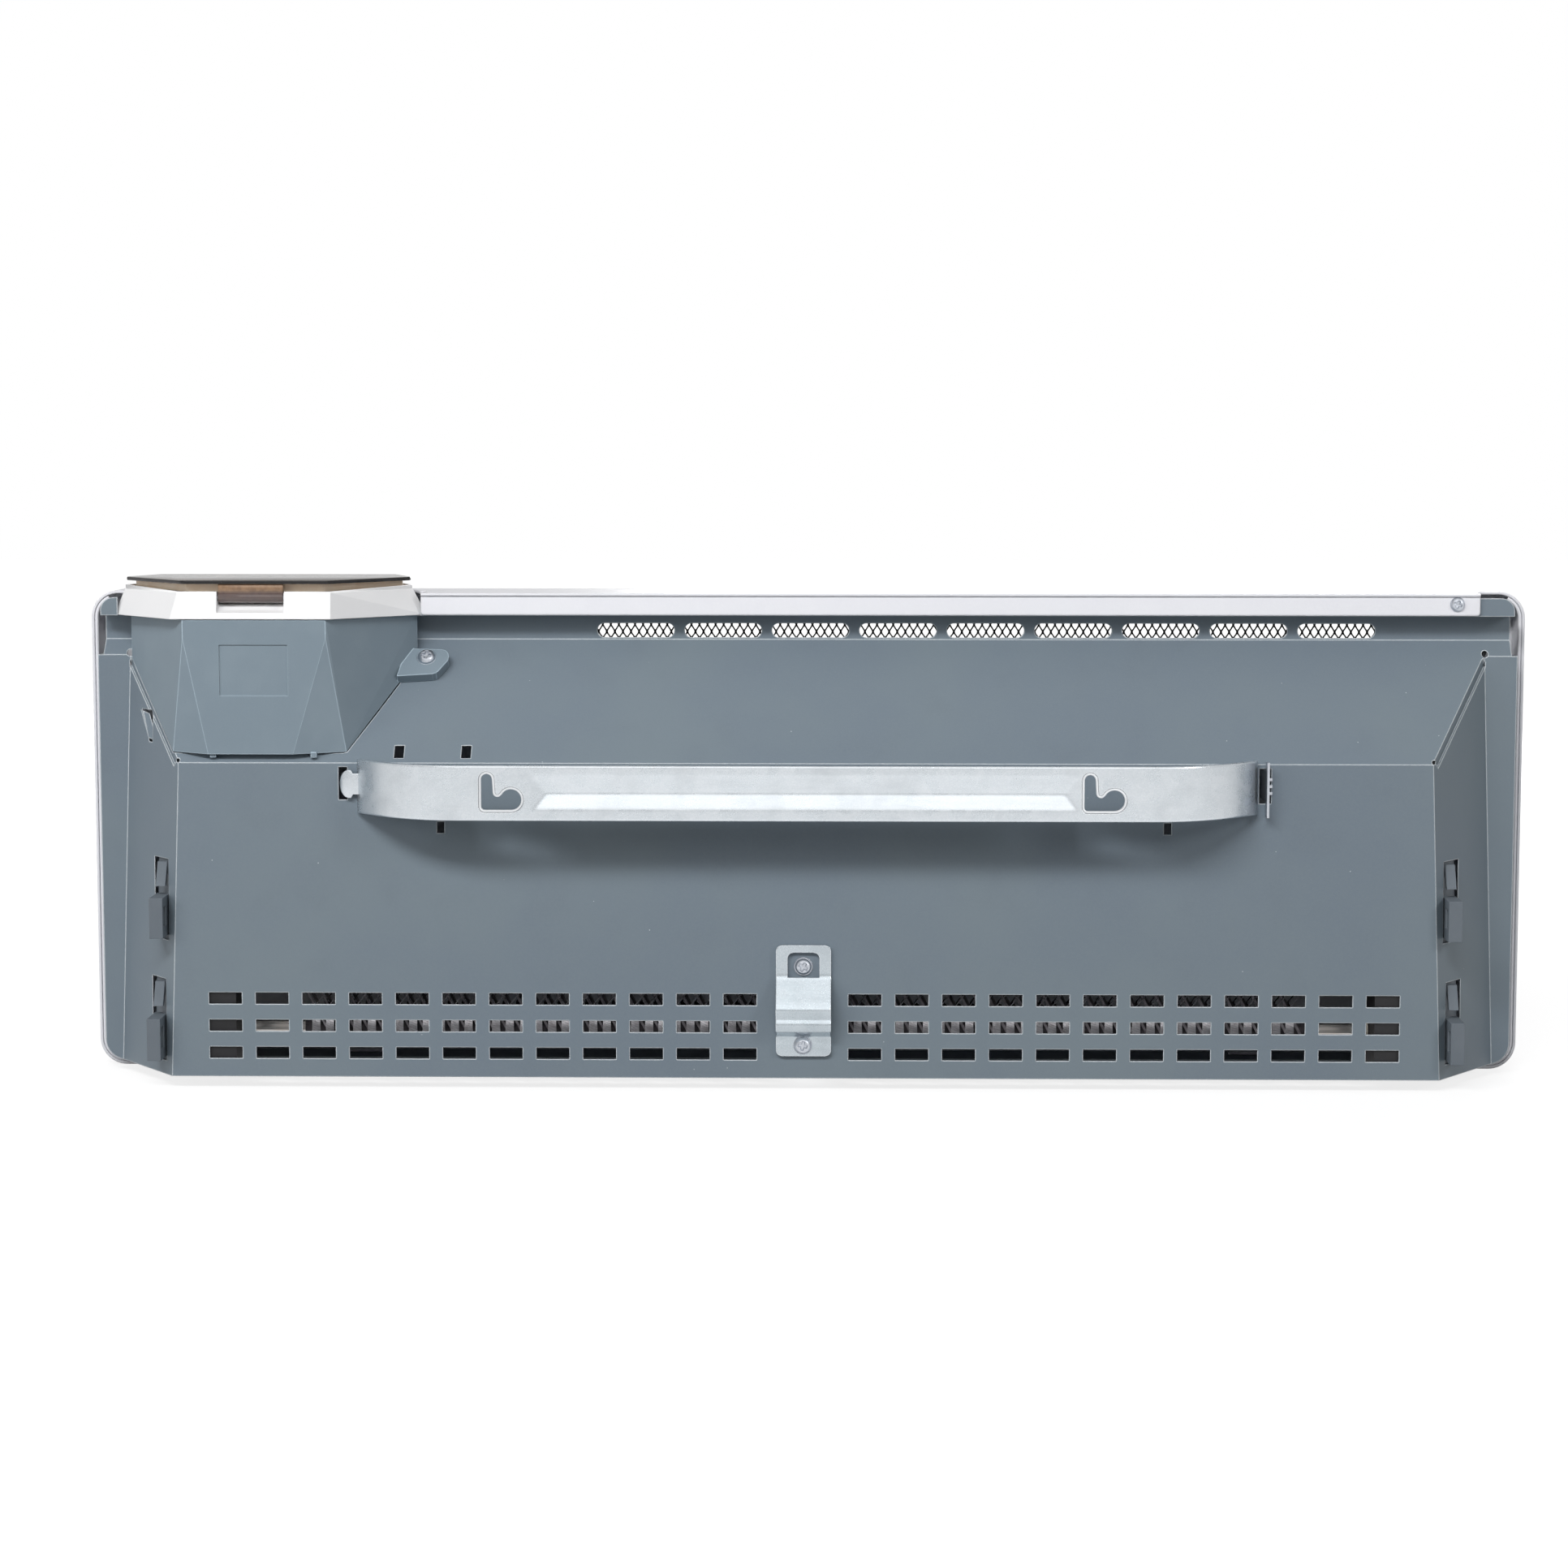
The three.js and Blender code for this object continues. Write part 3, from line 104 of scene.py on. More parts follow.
class Finish:
    """A material of one Principled shader and the nodes that feed it."""

    def __init__(self, name, colour, roughness, metallic=0.0, **sockets):
        self.material = bpy.data.materials.new(name)
        self.material.use_nodes = True
        self.tree = self.material.node_tree
        self.tree.nodes.clear()
        self.surface = self.tree.nodes.new("ShaderNodeBsdfPrincipled")
        output = self.tree.nodes.new("ShaderNodeOutputMaterial")
        self.tree.links.new(self.surface.outputs[0], output.inputs["Surface"])
        self.feed("Base Color", colour)
        self.feed("Roughness", roughness)
        self.feed("Metallic", metallic)
        for name, value in sockets.items():
            self.feed(name.replace("_", " "), value)

    def put(self, socket, value):
        """Links a Level to a socket, or sets the socket to a number or colour."""
        if isinstance(value, Level):
            self.tree.links.new(value.socket, socket)
        elif isinstance(value, tuple) and len(value) == 3 and len(socket.default_value) == 4:
            socket.default_value = (*value, 1.0)
        else:
            socket.default_value = value

    def feed(self, name, value):
        self.put(self.surface.inputs[name], value)

    def add(self, kind, settings=None, values=None, out=0):
        """Any other node: its settings first, then its socket values and links."""
        node = self.tree.nodes.new(kind)
        for name, value in (settings or {}).items():
            setattr(node, name, value)
        pairs = values.items() if isinstance(values, dict) else enumerate(values or [])
        for key, value in pairs:
            self.put(node.inputs[key], value)
        return Level(self, node.outputs[out])

    def place(self):
        """The place on the object, in metres."""
        return self.add("ShaderNodeTexCoord", out=3)

    def axis(self, letter):
        """Distance along X, Y or Z in the frame, in metres."""
        return self.add("ShaderNodeSeparateXYZ", values=[self.place()], out="XYZ".index(letter))

    def stretch(self, x, y, z):
        """The place with its three distances scaled, which draws a pattern out."""
        return self.add("ShaderNodeMapping", values={"Vector": self.place(), "Scale": (x, y, z)})

    def noise(self, size, detail=2.0, roughness=0.5, where=None):
        """Soft blotches of about this size in metres, from 0 to 1."""
        values = {
            "Vector": where or self.place(),
            "Scale": 1.0 / size,
            "Detail": detail,
            "Roughness": roughness,
        }
        return self.add("ShaderNodeTexNoise", values=values)

    def cells(self, size, feature="F1", out=0, where=None, randomness=1.0):
        """A pattern of cells of about this size in metres."""
        values = {"Vector": where or self.place(), "Scale": 1.0 / size, "Randomness": randomness}
        return self.add("ShaderNodeTexVoronoi", {"feature": feature}, values, out)

    def mix(self, factor, first, second):
        """The first colour at factor 0, the second at factor 1."""
        node = self.tree.nodes.new("ShaderNodeMix")
        node.data_type = "RGBA"
        for socket, value in zip((node.inputs[0], node.inputs[6], node.inputs[7]), (factor, first, second)):
            self.put(socket, value)
        return Level(self, node.outputs[2])

    def edge(self, radius, low=0.02, high=0.3):
        """1 along bends and edges of about this radius in metres, 0 on flats."""
        rounded = self.add("ShaderNodeBevel", {"samples": 6}, {"Radius": radius})
        flat = self.add("ShaderNodeNewGeometry", out=1)
        dot = self.add("ShaderNodeVectorMath", {"operation": "DOT_PRODUCT"}, [rounded, flat], out=1)
        return (1.0 - dot).ramp(low, high)

    def relief(self, height, depth, edge_radius=0.0):
        """A bump this deep in metres for a height from 0 to 1, over edges rounded by edge_radius."""
        values = {"Height": height, "Distance": depth, "Strength": 1.0}
        if edge_radius:
            values["Normal"] = self.add("ShaderNodeBevel", {"samples": 6}, {"Radius": edge_radius})
        self.feed("Normal", self.add("ShaderNodeBump", values=values))


def powder_coat(name, base, light, dark):
    """Slate stove enamel on sheet steel: fine orange peel, pale dust specks, and bends painted lighter as a
    highlight.
    """
    f = Finish(name, base, 0.45)
    cloud = f.noise(0.09, 3.0, 0.55)
    colour = f.mix(cloud.ramp(0.35, 0.7) * 0.5, base, light)
    colour = f.mix(f.noise(0.025, 4.0, 0.6).ramp(0.5, 0.8) * 0.18, colour, dark)
    fine = f.noise(0.0007, 2.0, 0.6)
    colour = f.mix(fine.ramp(0.3, 0.75) * 0.35, colour, light)
    specks = f.cells(0.011) < 0.022
    colour = f.mix(specks * 0.75, colour, (0.62, 0.66, 0.7))
    bend_highlight = f.edge(0.0007, 0.004, 0.04)
    # Painted highlight: bends and edges are painted in a lighter colour.
    colour = f.mix(bend_highlight * 0.85, colour, (0.8, 0.85, 0.88))
    f.feed("Base Color", colour)
    rough = 0.4 + f.noise(0.03, 3.0, 0.6) * 0.12 + fine * 0.1 - bend_highlight * 0.12
    f.feed("Roughness", rough)
    peel = f.noise(0.0016, 3.0, 0.55) * 0.7 + fine * 0.3
    f.relief(peel, 0.00006, 0.0006)
    return f


def moulded(name, base, light, roughness, grain=0.00035, depth=0.00003, edge_highlight=0.3, edge_radius=0.0005,
            edge_low=0.03, edge_high=0.25, highlight_gain=1.3, highlight_dimmer=None):
    """Moulded plastic with a spark-eroded grain and edges painted lighter as a highlight."""
    f = Finish(name, base, roughness)
    colour = f.mix(f.noise(0.03, 3.0, 0.6).ramp(0.35, 0.75) * 0.5, base, light)
    fine = f.noise(grain, 2.0, 0.6)
    colour = f.mix(fine.ramp(0.35, 0.75) * 0.25, colour, light)
    edges = f.edge(edge_radius, edge_low, edge_high)
    if highlight_dimmer:
        edges = edges * (1.0 - highlight_dimmer(f) * 0.8)
    highlight_colour = tuple(min(1.0, c * highlight_gain + 0.05) for c in light)
    # Painted highlight: the edges get a lighter colour, weaker where the dimming mask says so.
    colour = f.mix(edges * edge_highlight, colour, highlight_colour)
    f.feed("Base Color", colour)
    f.feed("Roughness", roughness + f.noise(0.012, 3.0, 0.6) * 0.12 - 0.06 + fine * 0.06 - edges * 0.1)
    f.relief(fine, depth, edge_radius)
    return f


def galvanised(name, base, bright, roughness=0.3, edge_radius=0.0006):
    """Hot-dip zinc on strip steel: faint spangle, rolling lines, smudges, and edges painted lighter for wear
    and as a highlight.
    """
    f = Finish(name, base, roughness, 0.88)
    drift = f.add("ShaderNodeTexNoise", values={"Scale": 300.0}, out=1)
    drift = f.add("ShaderNodeVectorMath", {"operation": "SCALE"}, {0: drift, 3: 0.003})
    warped = f.add("ShaderNodeVectorMath", {"operation": "ADD"}, [f.place(), drift])
    spangle = f.cells(0.006, "F1", 1, warped)
    tone = f.add("ShaderNodeSeparateColor", values=[spangle])
    grit = f.noise(0.0006, 3.0, 0.65)
    smudge = f.noise(0.02, 5.0, 0.62)
    rolled = f.noise(0.004, 3.0, 0.6, f.stretch(0.12, 1.0, 1.0))
    colour = f.mix(tone * 0.25 + grit.ramp(0.35, 0.75) * 0.45, base, bright)
    colour = f.mix(smudge.ramp(0.48, 0.75) * 0.35, colour, tuple(c * 0.74 for c in base))
    colour = f.mix(rolled.ramp(0.5, 0.8) * 0.25, colour, tuple(c * 0.8 for c in base))
    dark_pits = f.cells(0.004) < 0.035
    colour = f.mix(dark_pits * 0.6, colour, tuple(c * 0.4 for c in base))
    wear_and_highlight = f.edge(edge_radius, 0.008, 0.08)
    # Edges painted lighter: partly worn zinc, partly a painted highlight.
    colour = f.mix(wear_and_highlight * 0.8, colour, (0.93, 0.94, 0.95))
    f.feed("Base Color", colour)
    rough = roughness + tone * 0.07 + smudge * 0.14 + rolled * 0.08 + grit * 0.08 - wear_and_highlight * 0.12 - 0.14
    f.feed("Roughness", rough)
    f.relief(rolled * 0.45 + grit * 0.3 + smudge * 0.25, 0.00006, edge_radius)
    return f


def plated(name, base, roughness=0.18, edge_radius=0.0002):
    """Bright zinc plate on screws and spring steel."""
    f = Finish(name, base, roughness, 1.0)
    cloud = f.noise(0.002, 4.0, 0.6)
    fine = f.noise(0.00025, 2.0, 0.6)
    wear_and_highlight = f.edge(edge_radius, 0.02, 0.25)
    colour = f.mix(cloud.ramp(0.4, 0.75) * 0.4, base, tuple(c * 0.7 for c in base))
    # Edges painted lighter: partly wear, partly a painted highlight.
    colour = f.mix(wear_and_highlight * 0.5, colour, (0.95, 0.96, 0.98))
    f.feed("Base Color", colour)
    f.feed("Roughness", roughness + cloud * 0.14 + fine * 0.06)
    f.relief(fine * 0.5 + cloud * 0.5, 0.00002, edge_radius)
    return f


def label_recess(f):
    """1 round the shallow recess in the housing's back, where the painted edge highlight is kept faint."""
    x, z, half_wide, half_high = (UNIT_X - 0.4) * MM, 0.1832, 0.0165, 0.0128
    return (abs(f.axis("X") - x) < half_wide) * (abs(f.axis("Z") - z) < half_high)


SLATE = (0.168, 0.209, 0.252)
slate_coat = powder_coat("slate_powder_coat", SLATE, (0.2, 0.245, 0.27), (0.13, 0.155, 0.185))
# slate_plastic gets the strongest painted edge highlight, kept faint over the label recess.
slate_plastic = moulded("slate_plastic", (0.2, 0.255, 0.3), (0.245, 0.305, 0.35), 0.42, edge_highlight=0.85,
                        edge_radius=0.0006, edge_low=0.0015, edge_high=0.02, highlight_gain=2.2,
                        highlight_dimmer=label_recess)
socket_plastic = moulded("socket_plastic", (0.125, 0.148, 0.172), (0.17, 0.193, 0.217), 0.5, edge_highlight=0.45)
white_enamel = moulded("white_enamel", (0.86, 0.865, 0.91), (0.9, 0.905, 0.94), 0.3, 0.0014, 0.00004,
                       edge_highlight=0.1, edge_radius=0.0012)
white_plastic = moulded("white_plastic", (0.92, 0.92, 0.93), (0.95, 0.95, 0.955), 0.28, 0.0005, 0.000012,
                        edge_highlight=0.15)
pale_plastic = moulded("pale_plastic", (0.66, 0.67, 0.69), (0.72, 0.72, 0.74), 0.4)
key_plastic = moulded("key_plastic", (0.3, 0.315, 0.33), (0.36, 0.375, 0.39), 0.42)
cream_plastic = moulded("cream_plastic", (0.6, 0.57, 0.48), (0.68, 0.65, 0.57), 0.4)
galvanised_strip = galvanised("galvanised_strip", (0.68, 0.73, 0.77), (0.86, 0.89, 0.92), 0.25)
spacer_zinc = galvanised("spacer_zinc", (0.5, 0.56, 0.6), (0.67, 0.72, 0.76), 0.22)
# Lighter zinc for the keyhole rims: their punched edges, and a painted highlight on the rounded lip.
punched_zinc_and_highlight = galvanised("punched_zinc_and_highlight", (0.84, 0.86, 0.88), (0.93, 0.94, 0.95), 0.55)
bright_plate = plated("bright_plate", (0.6, 0.63, 0.68), 0.3)


def fin_metal():
    """Thin aluminium fins with the crimps of the punch, painted darker along them as shade, a little scorched
    towards pink.
    """
    f = Finish("fin_metal", (0.85, 0.84, 0.88), 0.38, 0.2)
    cloud = f.noise(0.004, 4.0, 0.6)
    bend = f.noise(0.006, 2.0)
    crimps = (f.axis("Z") * 5600.0 + f.axis("X") * 2300.0 + bend * 6.0).wave()
    colour = f.mix(cloud.ramp(0.4, 0.75), (0.95, 0.93, 0.97), (0.78, 0.73, 0.76))
    # Painted shade: the crimps are painted darker as well as bumped.
    colour = f.mix(crimps.ramp(0.1, 0.95) * 0.22, colour, (0.42, 0.39, 0.41))
    f.feed("Base Color", colour)
    f.feed("Roughness", 0.34 + cloud * 0.16)
    f.relief(crimps * 0.5 + cloud * 0.3, 0.00014, 0.0002)
    return f


def fin_shade(name, shade_colour, sooted_shade_colour):
    """The narrow braces and the rear leaves, painted dark as the shade behind the front row, with soot
    blotches from the rod's heat.
    """
    f = Finish(name, shade_colour, 0.5, 0.6)
    soot = f.noise(0.003, 4.0, 0.6)
    f.feed("Base Color", f.mix(soot.ramp(0.35, 0.7), shade_colour, sooted_shade_colour))
    f.feed("Roughness", 0.4 + soot * 0.2)
    f.relief(soot, 0.0001, 0.0002)
    return f


def black_steel():
    """Expanded steel and stamped brackets in dull black paint."""
    f = Finish("black_steel", (0.01, 0.01, 0.011), 0.55)
    cloud = f.noise(0.006, 4.0, 0.6)
    wear_and_highlight = f.edge(0.0003, 0.05, 0.4)
    colour = f.mix(cloud.ramp(0.35, 0.75) * 0.6, (0.007, 0.007, 0.008), (0.022, 0.022, 0.025))
    # Edges painted a little lighter: partly worn paint, partly a painted highlight.
    f.feed("Base Color", f.mix(wear_and_highlight * 0.12, colour, (0.1, 0.1, 0.11)))
    f.feed("Roughness", 0.48 + cloud * 0.22)
    f.relief(f.noise(0.0008, 2.0), 0.00004, 0.0002)
    return f


def rod_steel():
    """Drawn stainless sheath of the heating rod, straw-tinted by heat near its middle."""
    f = Finish("rod_steel", (0.6, 0.58, 0.56), 0.25, 1.0)
    drawn = f.noise(0.0009, 3.0, 0.6, f.stretch(0.03, 1.0, 1.0))
    cloud = f.noise(0.02, 3.0)
    colour = f.mix(cloud.ramp(0.35, 0.7) * 0.6, (0.66, 0.65, 0.64), (0.55, 0.47, 0.4))
    f.feed("Base Color", f.mix(drawn.ramp(0.45, 0.8) * 0.4, colour, (0.35, 0.33, 0.32)))
    f.feed("Roughness", 0.2 + drawn * 0.2)
    f.relief(drawn, 0.00003)
    return f


def fired_clay():
    """Unglazed bush ceramic."""
    f = Finish("fired_clay", (0.7, 0.66, 0.58), 0.7)
    cloud = f.noise(0.003, 5.0, 0.65)
    f.feed("Base Color", f.mix(cloud.ramp(0.4, 0.7) * 0.6, (0.74, 0.7, 0.62), (0.55, 0.5, 0.42)))
    f.feed("Roughness", 0.6 + cloud * 0.25)
    f.relief(f.noise(0.0004, 3.0), 0.00006, 0.0003)
    return f


def smoked_plate():
    """Smoked acrylic plate: brown when looked through, near black along its cut edge."""
    f = Finish("smoked_plate", (0.1, 0.07, 0.05), 0.06, Transmission_Weight=0.85, IOR=1.49)
    flat = f.add("ShaderNodeNewGeometry", out=1)
    facing = abs(f.add("ShaderNodeSeparateXYZ", values=[flat], out=2)).ramp(0.5, 0.9)
    dust = f.noise(0.004, 4.0, 0.6)
    colour = f.mix(facing, (0.006, 0.005, 0.006), (0.2, 0.14, 0.1))
    f.feed("Base Color", f.mix(dust.ramp(0.6, 0.85) * 0.06, colour, (0.4, 0.37, 0.34)))
    f.feed("Roughness", 0.04 + dust.ramp(0.4, 0.8) * 0.07)
    f.relief(f.noise(0.02, 2.0), 0.00004, 0.0003)
    return f


def amber_skirt():
    """Thin skirt of the lid, light brown where light passes through it."""
    f = Finish("amber_skirt", (0.95, 0.8, 0.62), 0.3, Transmission_Weight=0.3, IOR=1.49)
    cloud = f.noise(0.008, 3.0, 0.6)
    f.feed("Base Color", f.mix(cloud.ramp(0.35, 0.75), (0.97, 0.84, 0.67), (0.9, 0.72, 0.54)))
    f.feed("Roughness", 0.16 + cloud * 0.12)
    f.relief(cloud, 0.00004, 0.0003)
    return f


def brown_knuckle():
    """Smoked hinge knuckle, painted darker and greyer towards its lower edge as shade on its underside."""
    f = Finish("brown_knuckle", (0.2, 0.12, 0.07), 0.14, Coat_Weight=0.5)
    low = f.axis("Z").ramp(0.2178, 0.2162)
    cloud = f.noise(0.003, 3.0, 0.6)
    colour = f.mix(cloud.ramp(0.35, 0.75), (0.3, 0.18, 0.1), (0.2, 0.115, 0.065))
    # Painted shade on the underside of the barrel.
    f.feed("Base Color", f.mix(low * 0.8, colour, (0.075, 0.06, 0.07)))
    f.feed("Roughness", 0.12 + cloud * 0.12)
    f.relief(cloud, 0.00004, 0.0003)
    return f


def display_glass():
    """Dark display window with a grey mask and a faint bar grid below it."""
    f = Finish("display_glass", (0.01, 0.01, 0.013), 0.06, Coat_Weight=1.0, Coat_Roughness=0.03)
    x = abs(f.axis("X") - UNIT_X * MM)
    y = abs(f.axis("Y") - (SHIFT_Y - 3) * MM)
    border = (x > 0.0186).most(y > 0.0056)
    bar_pitch, bar_wide = 4.4, 0.5
    bars = ((f.axis("X") * 1000.0) % bar_pitch < bar_wide) * (y < 0.0038)
    colour = f.mix(bars * 0.6, (0.012, 0.013, 0.016), (0.03, 0.034, 0.04))
    colour = f.mix(f.noise(0.002, 3.0).ramp(0.6, 0.8) * 0.2, colour, (0.05, 0.055, 0.06))
    f.feed("Base Color", f.mix(border, colour, (0.06, 0.062, 0.068)))
    f.feed("Roughness", 0.05 + f.noise(0.01, 4.0).ramp(0.4, 0.8) * 0.08 + border * 0.15)
    f.relief(f.noise(0.015, 2.0), 0.00002, 0.0004)
    return f


def board_lacquer():
    """Green solder lacquer with copper runs and tinned pads."""
    f = Finish("board_lacquer", (0.02, 0.13, 0.06), 0.3, Coat_Weight=0.4)
    runs = f.cells(0.004, "DISTANCE_TO_EDGE", 0, randomness=0.35) < 0.08
    pads = f.cells(0.004, "F1", 0, randomness=0.35) < 0.16
    board_low, board_top = 0.2029, 0.2047
    top = (f.axis("Z") > board_top - 0.00007) * (f.axis("Z") < board_top + 0.00007)
    colour = f.mix(runs * 0.5, (0.018, 0.11, 0.05), (0.05, 0.24, 0.1))
    colour = f.mix(pads * 0.8, colour, (0.6, 0.6, 0.58))
    parts = (f.axis("Z") > board_top + 0.0002).most(f.axis("Z") < board_low)
    colour = f.mix(parts, colour, (0.05, 0.05, 0.055))
    f.feed("Base Color", colour)
    f.feed("Roughness", 0.28 + f.noise(0.002, 3.0) * 0.2)
    f.relief(runs * top, 0.00004, 0.0003)
    return f


def silicone(name, base):
    """Rubbery insulation of a lead."""
    f = Finish(name, base, 0.45)
    cloud = f.noise(0.003, 4.0, 0.6)
    f.feed("Base Color", f.mix(cloud.ramp(0.4, 0.75) * 0.5, base, tuple(c * 1.6 + 0.02 for c in base)))
    f.feed("Roughness", 0.38 + cloud * 0.2)
    f.relief(f.noise(0.0006, 2.0), 0.00003)
    return f


fins_finish = fin_metal()
# Painted shade: the braces and the rear row are coloured dark because they lie in shade.
shaded_brace_finish = fin_shade("shaded_brace_metal", (0.4, 0.38, 0.41), (0.2, 0.185, 0.2))
shade_finish = fin_shade("fin_shade", (0.1, 0.09, 0.1), (0.03, 0.028, 0.032))
black_finish = black_steel()
rod_finish = rod_steel()
clay_finish = fired_clay()
smoked_finish = smoked_plate()
skirt_finish = amber_skirt()
knuckle_finish = brown_knuckle()
display_finish = display_glass()
board_finish = board_lacquer()
red_lead = silicone("red_lead", (0.33, 0.03, 0.02))
blue_lead = silicone("blue_lead", (0.03, 0.09, 0.3))

CAD_FINISHES = (
    (white_enamel, "front_panel"),
    (slate_coat, "rear_cover"),
    (slate_plastic, "control_housing"),
    (white_plastic, "control_bezel"),
    (pale_plastic, "control_face"),
    (smoked_finish, "control_lid"),
    (display_finish, "display_window"),
    (board_finish, "circuit_board"),
    (rod_finish, "heating_rod"),
    (fins_finish, "element_fins"),
    (black_finish, "end_bracket_left end_bracket_right outlet_mesh"),
    (clay_finish, "rod_bush_left rod_bush_right"),
    (cream_plastic, "thermal_cutout unit_plug heater_socket"),
    (red_lead, "lead_live lead_cutout"),
    (blue_lead, "lead_neutral"),
    (galvanised_strip, "centre_bracket latch_seat wall_bracket lower_spacer"),
    (bright_plate, "lid_pin latch_spring screw_rim screw_lug screw_spacer_upper screw_spacer_lower"),
    (socket_plastic, "foot_socket_left_upper foot_socket_left_lower"),
    (socket_plastic, "foot_socket_right_upper foot_socket_right_lower"),
    (key_plastic, "button_power button_minus button_mode button_plus button_timer"),
)
for finish, names in CAD_FINISHES:
    for name in names.split():
        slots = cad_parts[name].data.materials
        slots.clear()
        slots.append(finish.material)


# ---------------------------------------------------------------- mesh making
def piece(name, points, faces, finish, body="casing", stands_for=(), smooth=38.0):
    """A named mesh from points in metres, riding on a body."""
    mesh = bpy.data.meshes.new(name)
    mesh.from_pydata([tuple(p) for p in points], [], [tuple(f) for f in faces])
    mesh.materials.append(finish.material)
    bm = bmesh.new()
    bm.from_mesh(mesh)
    bmesh.ops.remove_doubles(bm, verts=bm.verts, dist=1e-7)
    bmesh.ops.recalc_face_normals(bm, faces=bm.faces)
    for face in bm.faces:
        face.smooth = True
    for e in bm.edges:
        if len(e.link_faces) == 2 and e.calc_face_angle(0.0) > math.radians(smooth):
            e.smooth = False
    bm.to_mesh(mesh)
    bm.free()
    made = bpy.data.objects.new(name, mesh)
    bpy.context.scene.collection.objects.link(made)
    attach(made, body)
    if stands_for:
        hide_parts(*stands_for)
    return made


def skin(rings, closed=True, caps=True):
    """Points and faces of a skin through rings of equal length."""
    points = [p for ring in rings for p in ring]
    n = len(rings[0])
    faces = []
    for i in range(len(rings) - 1):
        for j in range(n if closed else n - 1):
            k = (j + 1) % n
            faces.append((i * n + j, i * n + k, (i + 1) * n + k, (i + 1) * n + j))
    if caps:
        faces.append(tuple(range(n)))
        faces.append(tuple(range((len(rings) - 1) * n, len(rings) * n)))
    return points, faces


def rounded_ring(half_w, half_h, radius, steps=4):
    """A rounded rectangle about the origin as (u, v) pairs."""
    ring = []
    for cx, cy, start in ((1, 1, 0), (-1, 1, 90), (-1, -1, 180), (1, -1, 270)):
        for i in range(steps + 1):
            a = math.radians(start + 90 * i / steps)
            ring.append((cx * (half_w - radius) + radius * math.cos(a),
                         cy * (half_h - radius) + radius * math.sin(a)))
    return ring


def join(parts):
    """One list of points and faces out of several."""
    points, faces = [], []
    for p, f in parts:
        base = len(points)
        points += p
        faces += [tuple(base + i for i in face) for face in f]
    return points, faces


def smoothstep(t):
    """0 below 0, 1 above 1, smooth between."""
    t = max(0.0, min(1.0, t))
    return t * t * (3 - 2 * t)


# ---------------------------------------------------------------- outlet mesh
def outlet_mesh():
    """Expanded steel: flat strands that cross into diamonds behind the outlet."""
    left, right, low, middle, high = -149.0, 299.0, 188.6, 195.6, 203.4
    pitch, diamond, steps = 3.66, 6.4, 12
    y, thick, wide = 23.0, 0.42, 0.82
    parts = []
    for lean in (-1, 1):
        for k in range(-2, int((right - left) / pitch) + 3):
            rings = []
            for i in range(steps + 1):
                z = low + (high - low) * i / steps
                turn = (z - middle) / diamond
                x = left + (k + lean * turn) * pitch
                pinch = math.cos(2 * math.pi * 2 * turn)
                x -= lean * 0.16 * math.sin(2 * math.pi * 2 * turn)
                if not left < x < right:
                    continue
                w = wide * (1 + 0.12 * pinch)
                bow = 0.18 * lean * pinch
                ring = [(x - w / 2, y + bow - thick / 2), (x + w / 2, y + bow - thick / 2),
                        (x + w / 2, y + bow + thick / 2), (x - w / 2, y + bow + thick / 2)]
                rings.append([at(px, py, z) for px, py in ring])
            if len(rings) > 1:
                parts.append(skin(rings))
    for z0, z1 in ((low - 0.7, low + 0.5), (high - 0.5, high + 0.7)):
        ring = [(y - 0.4, z0), (y + 0.4, z0), (y + 0.4, z1), (y - 0.4, z1)]
        parts.append(skin([[at(x, py, pz) for py, pz in ring] for x in (left - 1, right + 1)]))
    piece("expanded_mesh", *join(parts), black_finish, stands_for=["outlet_mesh"])


outlet_mesh()


# ---------------------------------------------------------------- wall bracket
ARCH_Y, ARCH_HALF, ARCH_FLAT, ARCH_X = -86.0, 194.5, 147.0, 1.1
ARCH_LOW, ARCH_TOP, ARCH_SHEET = 121.3, 145.1, 2.0
ARCH_FOOT = COVER_BACK_Y - 2.2      # rear face of the strap's ends, which lie on the cover
GROOVE_Z, GROOVE_HALF, GROOVE_REACH, GROOVE_DEPTH = 133.4, 7.3, 115.5, 1.9
KEYHOLES = (-134.2, 121.6)
RIM_REACH = 1.1


def arch_line():
    """Rear face of the strap seen from above, as (x, y), from left to right."""
    rise = ARCH_FOOT - ARCH_Y
    left = []
    steps = 30
    for i in range(steps):
        s = i / steps
        x = ARCH_X - ARCH_HALF + s * (ARCH_HALF - ARCH_FLAT)
        left.append((x, ARCH_FOOT - rise * (1 - (1 - s) ** 2.2)))
    flat = [(ARCH_X + x, ARCH_Y) for x in range(-147, 148)]
    return left + flat + [(2 * ARCH_X - x, y) for x, y in reversed(left)]


def soft(value, blend):
    """The value where it is above zero, with a rounded start."""
    return (value + math.sqrt(value * value + blend * blend)) / 2


def groove_depth(x, z):
    """How far the pressed groove sinks into the strap's back: two flat walls that meet in a line."""
    wall = (GROOVE_HALF - abs(z - GROOVE_Z)) / GROOVE_HALF
    end = (GROOVE_REACH - abs(x)) / 5.5
    return GROOVE_DEPTH * soft(min(wall, end, 0.94), 0.06)


def keyhole_line(x, steps=10):
    """Outline of a keyhole, a narrow slot beside a round hole, as (x, z)."""
    low = 126.1
    line = []

    def arc(cx, cz, r, start, end, n=steps):
        for i in range(n + 1):
            a = math.radians(start + (end - start) * i / n)
            line.append((cx + r * math.cos(a), cz + r * math.sin(a)))

    arc(x + 10.3, low + 4.4, 4.4, -90, 150, 20)
    arc(x + 4.6, low + 7.5, 2.0, -60, -180, 8)
    arc(x, 139.1, 2.3, 0, 180, 14)
    arc(x - 0.9, low + 1.4, 1.4, 180, 270, 6)
    return line


